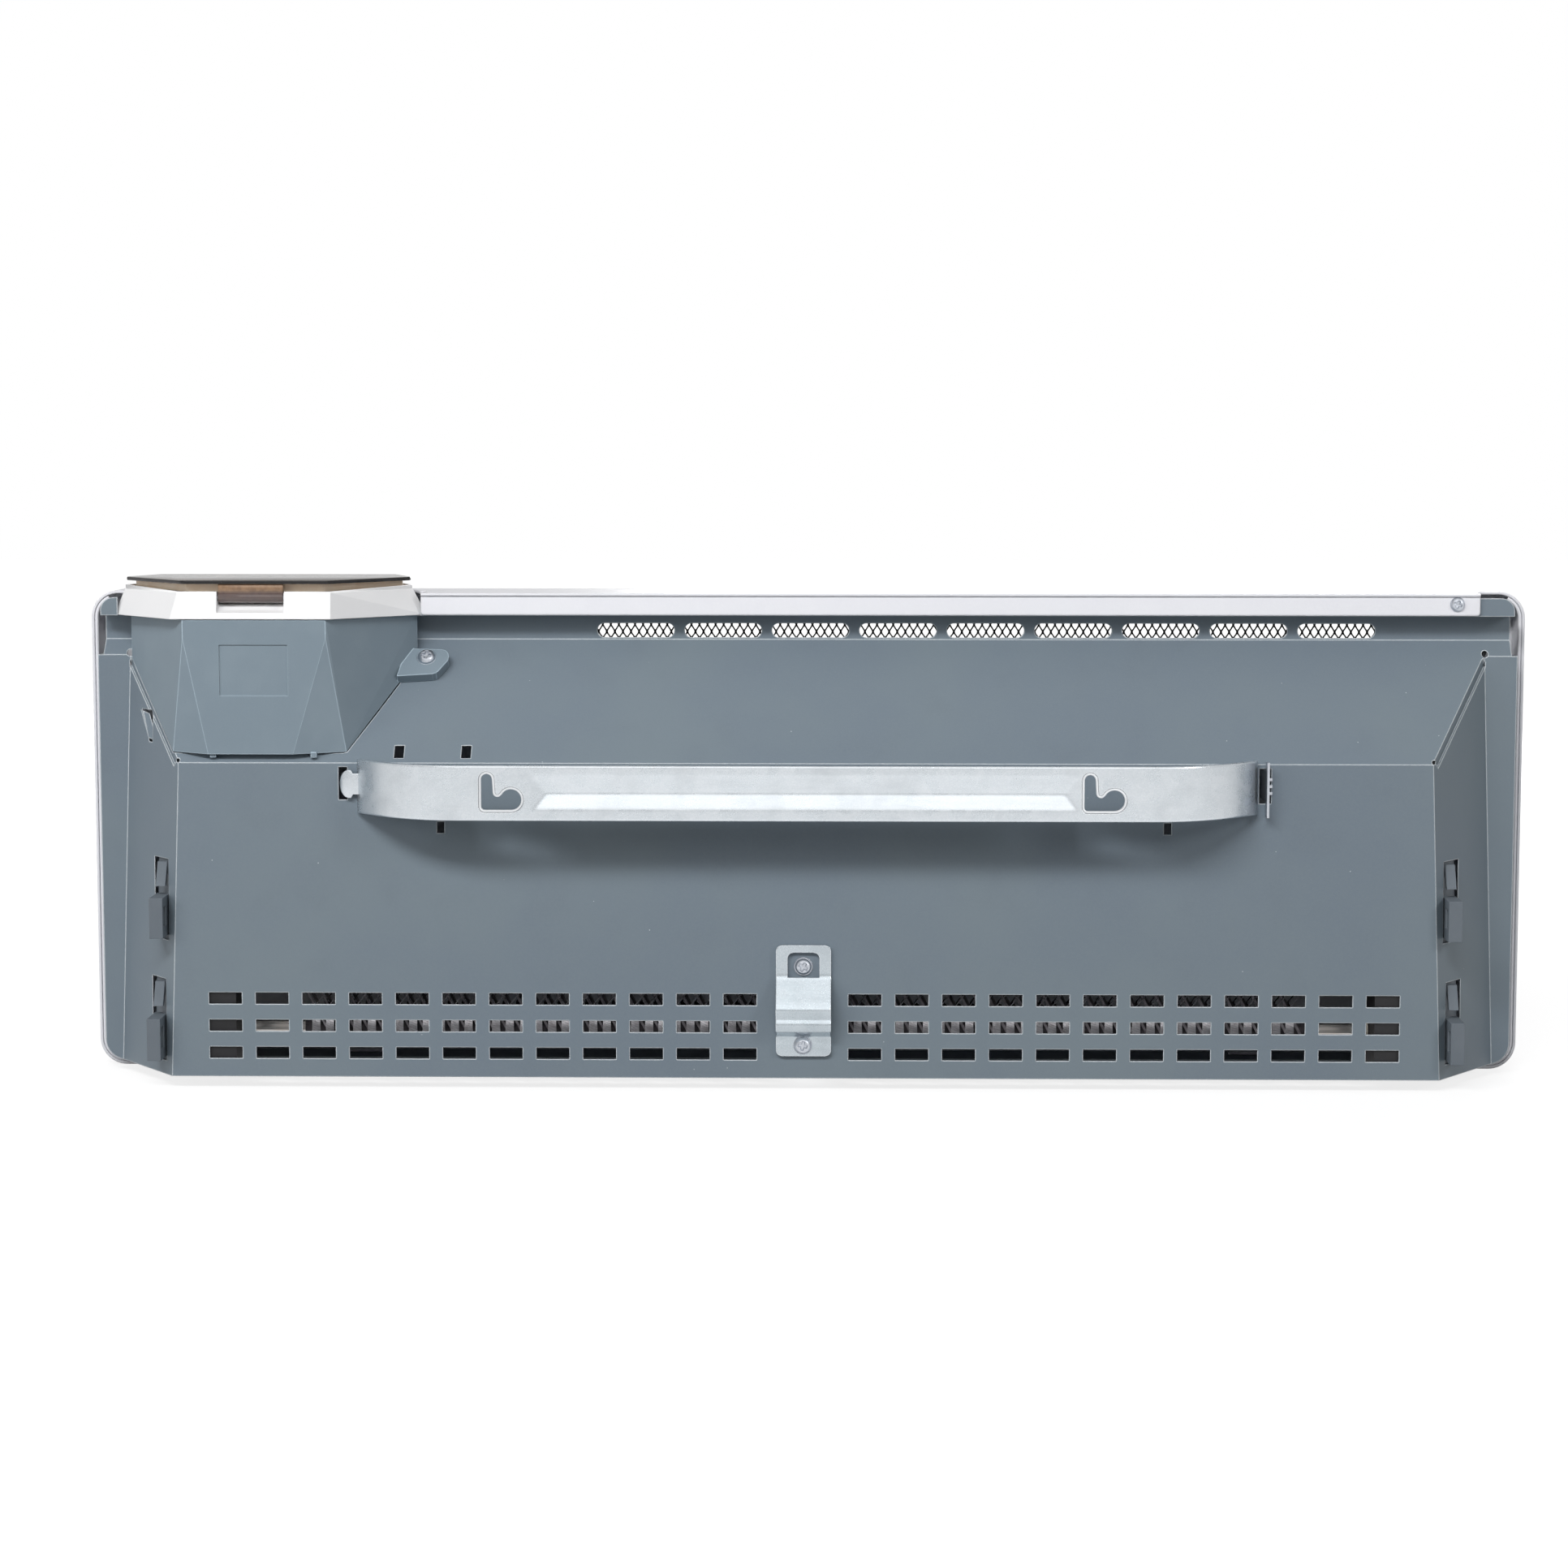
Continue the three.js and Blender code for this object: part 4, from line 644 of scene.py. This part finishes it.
def strap_section():
    """Outline of the strap's cross-section with softened edges, as (z, depth)."""
    rows = 44
    height = ARCH_TOP - ARCH_LOW
    zs = [ARCH_LOW + 0.6 + (height - 1.2) * i / rows for i in range(rows + 1)]
    front = ARCH_SHEET
    section = [(ARCH_LOW + 0.05, 0.75), (ARCH_LOW + 0.25, 0.25)]
    section += [(z, 0.0) for z in zs]
    section += [(ARCH_TOP - 0.25, 0.25), (ARCH_TOP - 0.05, 0.75)]
    section += [(ARCH_TOP - 0.05, front - 0.75), (ARCH_TOP - 0.25, front - 0.25)]
    section += [(z, front) for z in reversed(zs)]
    return section + [(ARCH_LOW + 0.25, front - 0.25), (ARCH_LOW + 0.05, front - 0.75)]


def wall_bracket():
    """The bow-shaped strap with its groove, keyholes and ends."""
    line, section = arch_line(), strap_section()
    rings = []
    for i, (x, y) in enumerate(line):
        before, after = line[max(0, i - 1)], line[min(len(line) - 1, i + 1)]
        along = Vector((after[0] - before[0], after[1] - before[1])).normalized()
        inward = Vector((-along.y, along.x))
        if i in (0, len(line) - 1):
            inward = Vector((0, 1))
        ring = []
        for z, depth in section:
            sink = groove_depth(x - ARCH_X, z)
            ring.append(at(x + inward.x * depth, y + inward.y * depth + sink, z))
        rings.append(ring)
    strap = piece("bracket_strap", *skin(rings), galvanised_strip, stands_for=["wall_bracket"])
    for x in KEYHOLES:
        punch(strap, grown(keyhole_line(x), RIM_REACH + 0.05))
        rim(x, keyhole_line(x))
    bracket_ends()


def punch(strap, outline):
    """Cuts an outline through the strap."""
    points, faces = skin([[at(x, ARCH_Y + depth, z) for x, z in outline] for depth in (-4, 8)])
    cutter = bpy.data.meshes.new("keyhole_tool")
    cutter.from_pydata([tuple(p) for p in points], [], faces)
    bm = bmesh.new()
    bm.from_mesh(cutter)
    bmesh.ops.recalc_face_normals(bm, faces=bm.faces)
    bm.to_mesh(cutter)
    bm.free()
    tool = bpy.data.objects.new("keyhole_tool", cutter)
    bpy.context.scene.collection.objects.link(tool)
    cut = strap.modifiers.new("keyhole", "BOOLEAN")
    cut.operation, cut.solver, cut.object = "DIFFERENCE", "EXACT", tool
    depsgraph = bpy.context.evaluated_depsgraph_get()
    shaped = bpy.data.meshes.new_from_object(strap.evaluated_get(depsgraph))
    strap.modifiers.clear()
    strap.data = shaped
    bpy.data.objects.remove(tool)


def grown(outline, reach):
    """An outline in the strap's plane with every point moved outwards."""
    moved = []
    for i, (x, z) in enumerate(outline):
        before, after = outline[i - 1], outline[(i + 1) % len(outline)]
        t = Vector((after[0] - before[0], after[1] - before[1])).normalized()
        moved.append((x + t.y * reach, z - t.x * reach))
    return moved


def rim(x, outline):
    """Rounded lip round a keyhole, level with the strap's back."""
    profile = ((0.03, 1.95), (0.03, 0.3), (0.2, 0.08), (0.5, 0.0), (0.85, 0.1),
               (RIM_REACH, 0.4), (RIM_REACH, 1.95))
    loops = [[at(px, ARCH_Y + depth, pz) for px, pz in grown(outline, reach)] for reach, depth in profile]
    rings = [list(ring) for ring in zip(*loops)]
    rings.append(rings[0])
    points, faces = skin(rings, closed=True, caps=False)
    name = "keyhole_rim_left" if x < 0 else "keyhole_rim_right"
    # The rim's lighter zinc is partly a painted highlight.
    piece(name, points, faces, punched_zinc_and_highlight, smooth=80)


def bracket_ends():
    """Mushroom-shaped hook at the left end, and the dimple at the right end."""
    y = ARCH_FOOT
    x0, z0, radius = ARCH_X - ARCH_HALF - 4.4, 134.1, 6.1
    rows = []
    for i in range(13):
        s = i / 12
        x = x0 + 1.8 - 5.0 * s
        half = radius * math.sqrt(max(0.01, 1 - (max(0.0, s - 0.16) / 0.86) ** 2.2))
        rows.append((x, half))
    rows.insert(0, (x0 + 2.6, 4.6))
    rows.insert(0, (x0 + 9.0, 4.6))
    rings = []
    for x, half in rows:
        droop = 1.9 * max(0.0, (x0 + 1.5 - x) / 4.7) ** 2
        rings.append([at(x, y + droop + v, z0 + u) for u, v in rounded_ring(half, 0.8, 0.35, 3)])
    piece("bracket_hook", *skin(rings), galvanised_strip, smooth=50)
    dimple_x, dimple_z, wide, high = 192.4, 133, 1.9, 0.75
    steps, spokes = 6, 20
    rings = []
    for i in range(steps):
        a = math.radians(90 * i / steps)
        r, lift = wide * math.cos(a), high * math.sin(a)
        turns = [2 * math.pi * j / spokes for j in range(spokes)]
        rings.append([at(dimple_x + r * math.cos(b) * 0.9, y - 0.1 - lift, dimple_z + r * math.sin(b))
                      for b in turns])
    piece("bracket_dimple", *skin(rings), galvanised_strip)


wall_bracket()


# ---------------------------------------------------------------- lower spacer
SPACER_LOW, SPACER_TOP, SPACER_HALF = 15.1, 64.0, 12.0
WINDOW_LOW, WINDOW_TOP, WINDOW_HALF = 49.6, 60.7, 6.9
SPACER_CORNER = 2.6


def rounded_path(corners, reach, step):
    """A path of points about one step apart through corners rounded by curves of this reach."""
    line = []
    for i, corner in enumerate(corners):
        here = Vector(corner)
        if i in (0, len(corners) - 1):
            line.append(here)
            continue
        before, after = Vector(corners[i - 1]) - here, Vector(corners[i + 1]) - here
        near = min(reach, before.length * 0.45, after.length * 0.45)
        a, b = here + before.normalized() * near, here + after.normalized() * near
        line += [a.lerp(here, k / 6).lerp(here.lerp(b, k / 6), k / 6) for k in range(7)]
    fine = []
    for a, b in zip(line, line[1:]):
        n = max(1, int((b - a).length / step))
        fine += [a.lerp(b, i / n) for i in range(n)]
    return fine + [line[-1]]


def rounded_off(half, rise):
    """Half a width where its corner has been entered this far."""
    if rise <= 0:
        return half
    return half - (SPACER_CORNER - math.sqrt(max(0.0, SPACER_CORNER ** 2 - rise ** 2)))


def spacer_half(z):
    """Half width of the spacer's outline, rounded at its four corners."""
    return rounded_off(SPACER_HALF, SPACER_CORNER - min(z - SPACER_LOW, SPACER_TOP - z))


def window_half(z):
    """Half width of the screw's window, rounded at its two upper corners."""
    return rounded_off(WINDOW_HALF, z - (WINDOW_TOP - SPACER_CORNER))


def lower_spacer():
    """Bent strip with a window for its upper screw and two pressed ridges."""
    thick = 1.8
    back = COVER_BACK_Y - 0.3 - thick / 2
    corners = [(back, SPACER_TOP), (back, 50.0), (back - 6.5, 38.4), (back - 7.5, 36.4), (back - 7.0, 34.6),
               (back - 5.9, 32.6), (back - 7.2, 29.8), (back - 6.2, 27.6), (back, 24.4), (back, SPACER_LOW)]
    path = rounded_path(corners, 1.6, 0.5)
    for edge in (WINDOW_TOP, WINDOW_LOW):
        k = min(range(len(path)), key=lambda i: abs(path[i].y - edge))
        path[k].y = edge
    outer, inner = 8, 6
    points, faces = [], []
    for p in path:
        half, hole = spacer_half(p.y), window_half(min(p.y, WINDOW_TOP))
        row = [-half + (half - hole) * i / outer for i in range(outer)]
        row += [-hole + 2 * hole * i / inner for i in range(inner + 1)]
        row += [hole + (half - hole) * (i + 1) / outer for i in range(outer)]
        points += [at(x, p.x, p.y) for x in row]
    across = 2 * outer + inner + 1
    for i in range(len(path) - 1):
        middle = (path[i].y + path[i + 1].y) / 2
        for j in range(across - 1):
            if WINDOW_LOW < middle < WINDOW_TOP and outer <= j < outer + inner:
                continue
            a = i * across + j
            faces.append((a, a + 1, a + across + 1, a + across))
    spacer = piece("spacer_strip", points, faces, spacer_zinc, stands_for=["lower_spacer"], smooth=60)
    solid = spacer.modifiers.new("thickness", "SOLIDIFY")
    solid.thickness, solid.offset = thick * MM, 0.0
    bevel = spacer.modifiers.new("soft_edges", "BEVEL")
    bevel.width, bevel.segments, bevel.angle_limit = 0.3 * MM, 2, math.radians(50)


lower_spacer()


# ---------------------------------------------------------------- screws
def cross_recess(u, v, radius):
    """Depth share of the cross recess at a place on the head."""
    arm = min(abs(u), abs(v))
    reach = max(abs(u), abs(v))
    width = 0.15 * radius
    inside = 1 - smoothstep((arm - width) / (0.07 * radius))
    ends = 1 - smoothstep((reach - 0.5 * radius) / (0.1 * radius))
    middle = 1 - smoothstep((math.hypot(u, v) - 0.2 * radius) / (0.16 * radius))
    return max(inside * ends * (1 - 0.35 * reach / radius), middle)


def screw(name, centre, radius, height, node, turn=0.0, tilt=0.0, flange=1.0, length=8.0):
    """Pan head screw with a cross recess; its head faces the wall before tilt."""
    spokes, hoops = 72, 26
    rings = []
    for i in range(hoops + 1):
        s = i / hoops
        r = radius * s
        dome = height * (1 - max(0.0, (s - 0.35) / 0.65) ** 3.0 * 0.75)
        ring = []
        for j in range(spokes):
            a = 2 * math.pi * j / spokes
            u, v = r * math.cos(a), r * math.sin(a)
            sink = cross_recess(u, v, radius) * height * 0.75
            ring.append((u, -(dome - sink), v))
        rings.append(ring)
    collar = ((radius, 0.0), (radius * 0.98, 0.3), (radius * flange * 0.97, 0.25), (radius * flange, -0.05),
              (radius * flange + 0.15, 0.1), (radius * flange + 0.15, 0.45), (1.6, 0.5), (1.6, length))
    turns = [2 * math.pi * j / spokes for j in range(spokes)]
    rings += [[(r * math.cos(a), y, r * math.sin(a)) for a in turns] for r, y in collar]
    spin = Matrix.Rotation(tilt, 3, "X") @ Matrix.Rotation(math.radians(turn), 3, "Y")
    rings = [[at(*(spin @ Vector(p) + Vector(centre))) for p in ring] for ring in rings]
    points, faces = skin(rings[1:], caps=False)
    bottom = len(points)
    points.append(rings[0][0])
    faces += [(bottom, j, (j + 1) % spokes) for j in range(spokes)]
    faces.append(tuple(range(bottom - spokes, bottom)))
    piece(name, points, faces, bright_plate, stands_for=[node], smooth=50)


screw("rim_screw", (286.2, -21.7, 210.4), 3.1, 1.5, "screw_rim", 20)
screw("lug_screw", (-167.0, -22.3, 186.9), 3.7, 1.9, "screw_lug", 8, -0.7297, 1.12, 6)
screw("upper_spacer_screw", (-0.1, COVER_BACK_Y - 0.45, 54.4), 3.5, 1.9, "screw_spacer_upper", 30, 0.0, 1.15)
screw("lower_spacer_screw", (-0.3, COVER_BACK_Y - 2.5, 20.0), 3.5, 1.7, "screw_spacer_lower", 12, 0.0, 1.12)


# ---------------------------------------------------------------- heating element
FIN_PITCH, FIN_HALF = 6.12, 221.0
ROD_Y, ROD_Z = -28, 23


def fin_leaf(x, y, sway):
    """One punched leaf: broad and facing the wall below, a narrow leaning sliver at its tip."""
    low, high, steps, thick = 18.4, 39.6, 22, 0.4
    rings = []
    for i in range(steps + 1):
        z = low + (high - low) * i / steps
        tip = smoothstep((z - 30.5) / 3.5)
        half = 1.75 - 1.5 * tip + 0.25 * max(0.0, (26.5 - z) / 8.0)
        middle = x - 1.3 * tip + 0.8 * max(0.0, z - 33.0)
        turn = 0.9 * smoothstep((z - 24.0) / 7.0)
        bulge = 0.25 * math.sin(6.0 * i / steps + sway)
        front = [(middle - half, y + turn - bulge), (middle, y - 0.35), (middle + half, y + turn)]
        rings.append([at(px, py, z) for px, py in front] +
                     [at(px, py + thick, z) for px, py in reversed(front)])
    return skin(rings)


def fin_brace(x, y, wide):
    """The narrow leaf behind, leaning to the left across the gap as it rises."""
    low, high, steps = 18.0, 39.6, 8
    rings = []
    for i in range(steps + 1):
        z = low + (high - low) * i / steps
        middle = x - 0.53 * (z - 26.0)
        rings.append([at(middle - wide / 2, y + 0.9, z), at(middle + wide / 2, y, z),
                      at(middle + wide / 2, y + 0.4, z), at(middle - wide / 2, y + 1.3, z)])
    return skin(rings)


def element():
    """Two rows of leaves along the rod, with narrow leaves crossing behind the nearer row."""
    leaves, braces, shaded = [], [], []
    count = int(FIN_HALF / FIN_PITCH)
    for k in range(-count, count):
        x = -4.0 + (k + 0.5) * FIN_PITCH + chance.uniform(-0.2, 0.2)
        if abs(x) < 11 or abs(x) > FIN_HALF - 4:
            continue
        sway = chance.uniform(0, 6)
        leaves.append(fin_leaf(x, -41.4 + chance.uniform(-0.3, 0.3), sway))
        braces.append(fin_brace(x + FIN_PITCH * 0.5, -38.6, 1.3))
        shaded.append(fin_leaf(x + 2.4, -22.0, sway))
        shaded.append(fin_brace(x + FIN_PITCH * 0.5 + 1.0, -34.4, 1.6))
    sides, collar = 20, 6.6
    ring = [(collar * math.cos(2 * math.pi * i / sides), collar * math.sin(2 * math.pi * i / sides))
            for i in range(sides)]
    bore = [(u * 0.68, v * 0.68) for u, v in ring]
    ends = ((-FIN_HALF, bore), (-FIN_HALF, ring), (FIN_HALF, ring), (FIN_HALF, bore), (-FIN_HALF, bore))
    tube = [[at(x, ROD_Y + u, ROD_Z + v) for u, v in r] for x, r in ends]
    shaded.append(skin(tube, caps=False))
    piece("fin_pack", *join(leaves), fins_finish, stands_for=["element_fins"], smooth=32)
    piece("fin_braces", *join(braces), shaded_brace_finish, smooth=32)
    piece("fin_rear_row", *join(shaded), shade_finish, smooth=32)


element()


# ---------------------------------------------------------------- lid and bezel lip
NOTCH_X, NOTCH_HALF = UNIT_X - 1.5, 14.5
KNUCKLE_HALF = NOTCH_HALF - 0.4
HINGE_Y, HINGE_Z = -52.8, 214.6
LID_LOW, LID_PLATE, LID_TOP = 217.1, 220.4, 222.0


def unit_plan(tip, back, inset):
    """Six corners of the control unit seen from above, its narrow side towards the wall."""
    y_back, y_tip, y_front = -57.0 + inset, -17.0 + inset * 0.4, 13.0 - inset
    return [(UNIT_X - tip, y_tip), (UNIT_X - back, y_back), (UNIT_X + back, y_back),
            (UNIT_X + tip, y_tip), (UNIT_X + tip - 10, y_front), (UNIT_X - tip + 10, y_front)]


def eased(corners, reach):
    """A closed outline whose corners are rounded by curves of this reach."""
    line = []
    n = len(corners)
    for i in range(n):
        here = Vector(corners[i])
        a = here + (Vector(corners[i - 1]) - here).normalized() * reach
        b = here + (Vector(corners[(i + 1) % n]) - here).normalized() * reach
        line += [a.lerp(here, k / 5).lerp(here.lerp(b, k / 5), k / 5) for k in range(6)]
    return line


def lid():
    """Flap lid in three parts: a smoked plate, the skirt below it and the hinge knuckle."""
    rings = []
    for z, inset in ((LID_PLATE, 0.35), (LID_PLATE + 0.15, 0.1), (LID_PLATE + 0.4, 0.0),
                     (LID_TOP - 0.5, 0.0), (LID_TOP - 0.15, 0.15), (LID_TOP, 0.5)):
        outline = eased(unit_plan(63.4 - inset, 31.6 - 0.6 * inset, 2 + inset), 1.6)
        rings.append([at(p.x, p.y, z) for p in outline])
    piece("lid_plate", *skin(rings), smoked_finish, body="lid", stands_for=["control_lid"])

    outer = eased(unit_plan(59.6, 30, 6.5), 1.4)
    inner = eased(unit_plan(58.2, 29.2, 7.8), 1.0)
    loops = ((outer, LID_LOW), (outer, LID_PLATE), (inner, LID_PLATE), (inner, LID_LOW), (outer, LID_LOW))
    rings = [[at(p.x, p.y, z) for p in outline] for outline, z in loops]
    piece("lid_skirt", *skin(rings, caps=False), skirt_finish, body="lid")

    sides = 24
    turns = [2 * math.pi * i / sides for i in range(sides)]
    rings = []
    for radius, end in ((1.3, -1), (2.0, -1), (2.3, -0.978), (2.3, 0.978), (2.0, 1), (1.3, 1), (1.3, -1)):
        x = NOTCH_X + end * KNUCKLE_HALF
        rings.append([at(x, HINGE_Y + radius * math.cos(a), HINGE_Z + radius * math.sin(a)) for a in turns])
    barrel = skin(rings, caps=False)
    web = block((NOTCH_X - KNUCKLE_HALF, HINGE_Y - 1.2, HINGE_Z + 1.6),
                (NOTCH_X + KNUCKLE_HALF, HINGE_Y + 1.1, LID_PLATE), 0.25)
    piece("lid_knuckle", *join([barrel, web]), knuckle_finish, body="lid", smooth=50)


def bezel_lip():
    """Low white lip round the lid, dropping towards the hinge so that the lid swings clear."""
    right, left = NOTCH_X + NOTCH_HALF + 0.2, NOTCH_X - NOTCH_HALF - 0.2
    low, low_top, high_top, soft_edge = 216.4, 217.2, 218.5, 0.15
    paths = []
    for tip, back, inset in ((63.6, 33.0, 2.3), (62.3, 32.3, 3.5)):
        plan = unit_plan(tip, back, inset)
        paths.append([(right, plan[2][1]), *plan[2:], *plan[:2], (left, plan[1][1])])
    rings = []
    for (ox, oy), (ix, iy) in zip(*paths):
        top = low_top if oy < -50 else high_top
        section = ((0.0, low), (0.0, top - soft_edge), (0.2, top),
                   (0.8, top), (1.0, top - soft_edge), (1.0, low))
        rings.append([at(ox * (1 - t) + ix * t, oy * (1 - t) + iy * t, z) for t, z in section])
    piece("bezel_lip", *skin(rings), white_plastic, smooth=60)


# ---------------------------------------------------------------- sheet metal trim
PANEL_HALF, PANEL_HEIGHT, PANEL_CORNER = 320.0, 215.0, 12.0


def rod_along(line, radius, sides=10):
    """A round bead along a line of drawing points."""
    rings = []
    for i, p in enumerate(line):
        run = (Vector(line[min(len(line) - 1, i + 1)]) - Vector(line[max(0, i - 1)])).normalized()
        across = run.cross(Vector((0, 1, 0.01))).normalized()
        up = run.cross(across).normalized()
        ring = []
        for j in range(sides):
            a = 2 * math.pi * j / sides
            ring.append(at(*(Vector(p) + (across * math.cos(a) + up * math.sin(a)) * radius)))
        rings.append(ring)
    return skin(rings)


def panel_hem():
    """Rolled hem along the rear edge of the panel's sides and bottom."""
    bead, y, steps = 0.85, 0.9, 12
    radius = PANEL_CORNER - 2.1
    line = []
    for side, start, end in ((-1, 65, 0), (-1, 0, -90), (1, -90, 0), (1, 0, 65)):
        middle = PANEL_HEIGHT - PANEL_CORNER if start + end > 0 else PANEL_CORNER
        for i in range(steps + 1):
            a = math.radians(start + (end - start) * i / steps)
            x = side * (PANEL_HALF - PANEL_CORNER + radius * math.cos(a))
            line.append((x, y, middle + radius * math.sin(a)))
    piece("panel_hem", *rod_along(line, bead), white_enamel, smooth=60)


def seam_shade_bead():
    """Black bead behind the open seam between the slope and the right wing, a dark thing put there as painted
    shade in the seam.
    """
    front_y, steps, bead = -11.2, 12, 1.25
    slope_y, slope_top, slope_rise = -9.0, 194.0, 51.0 / 45.6
    wing_y, wing_foot, wing_lean, wing_taper = -15.0, 306.4, 29.8 / 39.6, 0.037
    line = []
    for i in range(steps + 1):
        y = front_y - 42.8 * i / steps
        z = slope_top + (y - slope_y) * slope_rise
        wing = wing_foot + (y - wing_y) * wing_lean - wing_taper * (z - 5.0)
        line.append((wing - 1.26, y + 2.1, z - 1.1))
    piece("seam_shade_bead", *rod_along(line, bead), black_finish)


# ---------------------------------------------------------------- small fittings
def block(low, high, soft_edge=0.2):
    """A box with rounded upright edges, between two corners in the drawing's millimetres."""
    cx, cy = (low[0] + high[0]) / 2, (low[1] + high[1]) / 2
    half_x, half_y = (high[0] - low[0]) / 2, (high[1] - low[1]) / 2
    rings = []
    for z, inset in ((low[2], soft_edge), (low[2] + soft_edge, 0),
                     (high[2] - soft_edge, 0), (high[2], soft_edge)):
        ring = rounded_ring(half_x - inset, half_y - inset, soft_edge, 2)
        rings.append([at(cx + u, cy + v, z) for u, v in ring])
    return skin(rings)


def unit_clips():
    """Two small snap clips under the control unit's housing."""
    parts = [block((x - 1.3, -55.2, 145.2), (x + 1.3, -51.0, 147.8)) for x in (-256.2, -212.4)]
    piece("housing_clips", *join(parts), slate_plastic)


def latch_teeth():
    """Three short teeth stamped out of the latch spring, towards the slot's right edge."""
    x = ARCH_X + ARCH_HALF + 4.1
    parts = [block((x + 0.4, -56.2, z - 0.7), (x + 2.4, -55.4, z + 0.7), 0.15) for z in (130.6, 133.6, 136.6)]
    piece("latch_teeth", *join(parts), bright_plate, body="latch")


lid()
bezel_lip()
panel_hem()
seam_shade_bead()
unit_clips()
latch_teeth()


# ---------------------------------------------------------------- camera
def camera():
    """The photograph's camera, solved from the corners of the panel and cover."""
    film, photo_width, focal_in_pixels = 36.0, 1932.0, 4188.38
    data = bpy.data.cameras.new("camera")
    data.sensor_width = film
    data.sensor_fit = "HORIZONTAL"
    data.lens = film * focal_in_pixels / photo_width
    data.clip_start, data.clip_end = 0.05, 50.0
    view = bpy.data.objects.new("camera", data)
    bpy.context.scene.collection.objects.link(view)
    view.location = at(19.83, -1517.29, 287.05)
    aim = at(-9.57, 0.0, 128.47) - view.location
    view.rotation_mode = "QUATERNION"
    view.rotation_quaternion = aim.to_track_quat("-Z", "Y")
    bpy.context.scene.camera = view


camera()


# ---------------------------------------------------------------- light and floor
def area(name, place, target, size, power, mirrored=True, lights=True):
    """A rectangular lamp; mirrored says if metal shows it, lights says if it lights dull surfaces."""
    data = bpy.data.lights.new(name, "AREA")
    data.shape = "RECTANGLE"
    data.size, data.size_y = size
    data.energy = power
    lamp = bpy.data.objects.new(name, data)
    bpy.context.scene.collection.objects.link(lamp)
    lamp.location = place
    lamp.rotation_mode = "QUATERNION"
    lamp.rotation_quaternion = (Vector(target) - Vector(place)).to_track_quat("-Z", "Y")
    lamp.visible_glossy = mirrored
    lamp.visible_diffuse = lights


def node(tree, kind, values, **settings):
    """A node of the studio: its settings first, then its socket values and links."""
    made = tree.nodes.new(kind)
    for name, value in settings.items():
        setattr(made, name, value)
    for key, value in values.items() if isinstance(values, dict) else enumerate(values):
        if isinstance(value, bpy.types.NodeSocket):
            tree.links.new(value, made.inputs[key])
        else:
            made.inputs[key].default_value = value
    return made.outputs


def lamps():
    area("key_softbox", (-0.45, -1.5, 1.34), (0.0, 0.0, 0.11), (1.5, 0.3), 30.0, mirrored=False)
    area("left_softbox", (-1.5, -1.1, 0.55), (-0.1, 0.0, 0.11), (0.8, 0.8), 7.0, mirrored=False)
    area("right_softbox", (1.35, -1.1, 0.85), (0.1, 0.0, 0.11), (0.35, 0.45), 6.0)
    area("far_softbox", (0.5, 1.7, 0.55), (0.0, 0.0, 0.12), (1.4, 0.8), 20.0)
    area("metal_card", (0.0, -1.8, 1.35), (0.0, 0.0, 0.13), (2.6, 1.3), 10.5, lights=False)


def sky():
    """White behind the heater and through its lid, greyer in mirrors, dim as a light."""
    world = bpy.data.worlds.new("studio")
    bpy.context.scene.world = world
    world.use_nodes = True
    tree = world.node_tree
    tree.nodes.clear()
    rays = node(tree, "ShaderNodeLightPath", ())
    seen = node(tree, "ShaderNodeMath", (rays["Is Camera Ray"], rays["Is Transmission Ray"]),
                operation="MAXIMUM")
    mirrored = node(tree, "ShaderNodeMath", (rays["Is Glossy Ray"], 0.64), operation="MULTIPLY")
    either = node(tree, "ShaderNodeMath", (seen[0], mirrored[0]), operation="MAXIMUM")
    level = node(tree, "ShaderNodeMapRange", {"Value": either[0], "To Min": 0.08, "To Max": 1.0})
    light = node(tree, "ShaderNodeBackground", {"Color": (1, 1, 1, 1), "Strength": level[0]})
    node(tree, "ShaderNodeOutputWorld", {"Surface": light[0]})


def studio_floor():
    """A floor that keeps the heater's shadow and turns white to the camera away from it."""
    r = 6.0
    mesh = bpy.data.meshes.new("studio_floor")
    mesh.from_pydata([(-r, -r, 0), (r, -r, 0), (r, r, 0), (-r, r, 0)], [], [(0, 1, 2, 3)])
    floor = bpy.data.objects.new("studio_floor", mesh)
    bpy.context.scene.collection.objects.link(floor)
    floor.location.z = -0.0006
    material = bpy.data.materials.new("studio_floor")
    material.use_nodes = True
    tree = material.node_tree
    tree.nodes.clear()
    paint = node(tree, "ShaderNodeBsdfDiffuse", {"Color": (0.3, 0.3, 0.3, 1)})
    rays = node(tree, "ShaderNodeLightPath", ())
    spot = node(tree, "ShaderNodeTexCoord", ())
    reach = node(tree, "ShaderNodeVectorMath", (spot["Object"],), operation="LENGTH")
    shares = []
    for ray, near, far in (("Is Camera Ray", 0.8, 1.0), ("Is Glossy Ray", 0.82, 0.66)):
        spread = node(tree, "ShaderNodeMapRange", {"Value": reach["Value"], "From Min": 0.25, "From Max": 1.1,
                                                   "To Min": near, "To Max": far})
        shares.append(node(tree, "ShaderNodeMath", (rays[ray], spread[0]), operation="MULTIPLY")[0])
    lift = node(tree, "ShaderNodeMath", shares, operation="ADD")
    glow = node(tree, "ShaderNodeEmission", {"Strength": lift[0]})
    both = node(tree, "ShaderNodeAddShader", (paint[0], glow[0]))
    node(tree, "ShaderNodeOutputMaterial", {"Surface": both[0]})
    mesh.materials.append(material)


lamps()
sky()
studio_floor()
bpy.context.scene.view_settings.view_transform = "Standard"
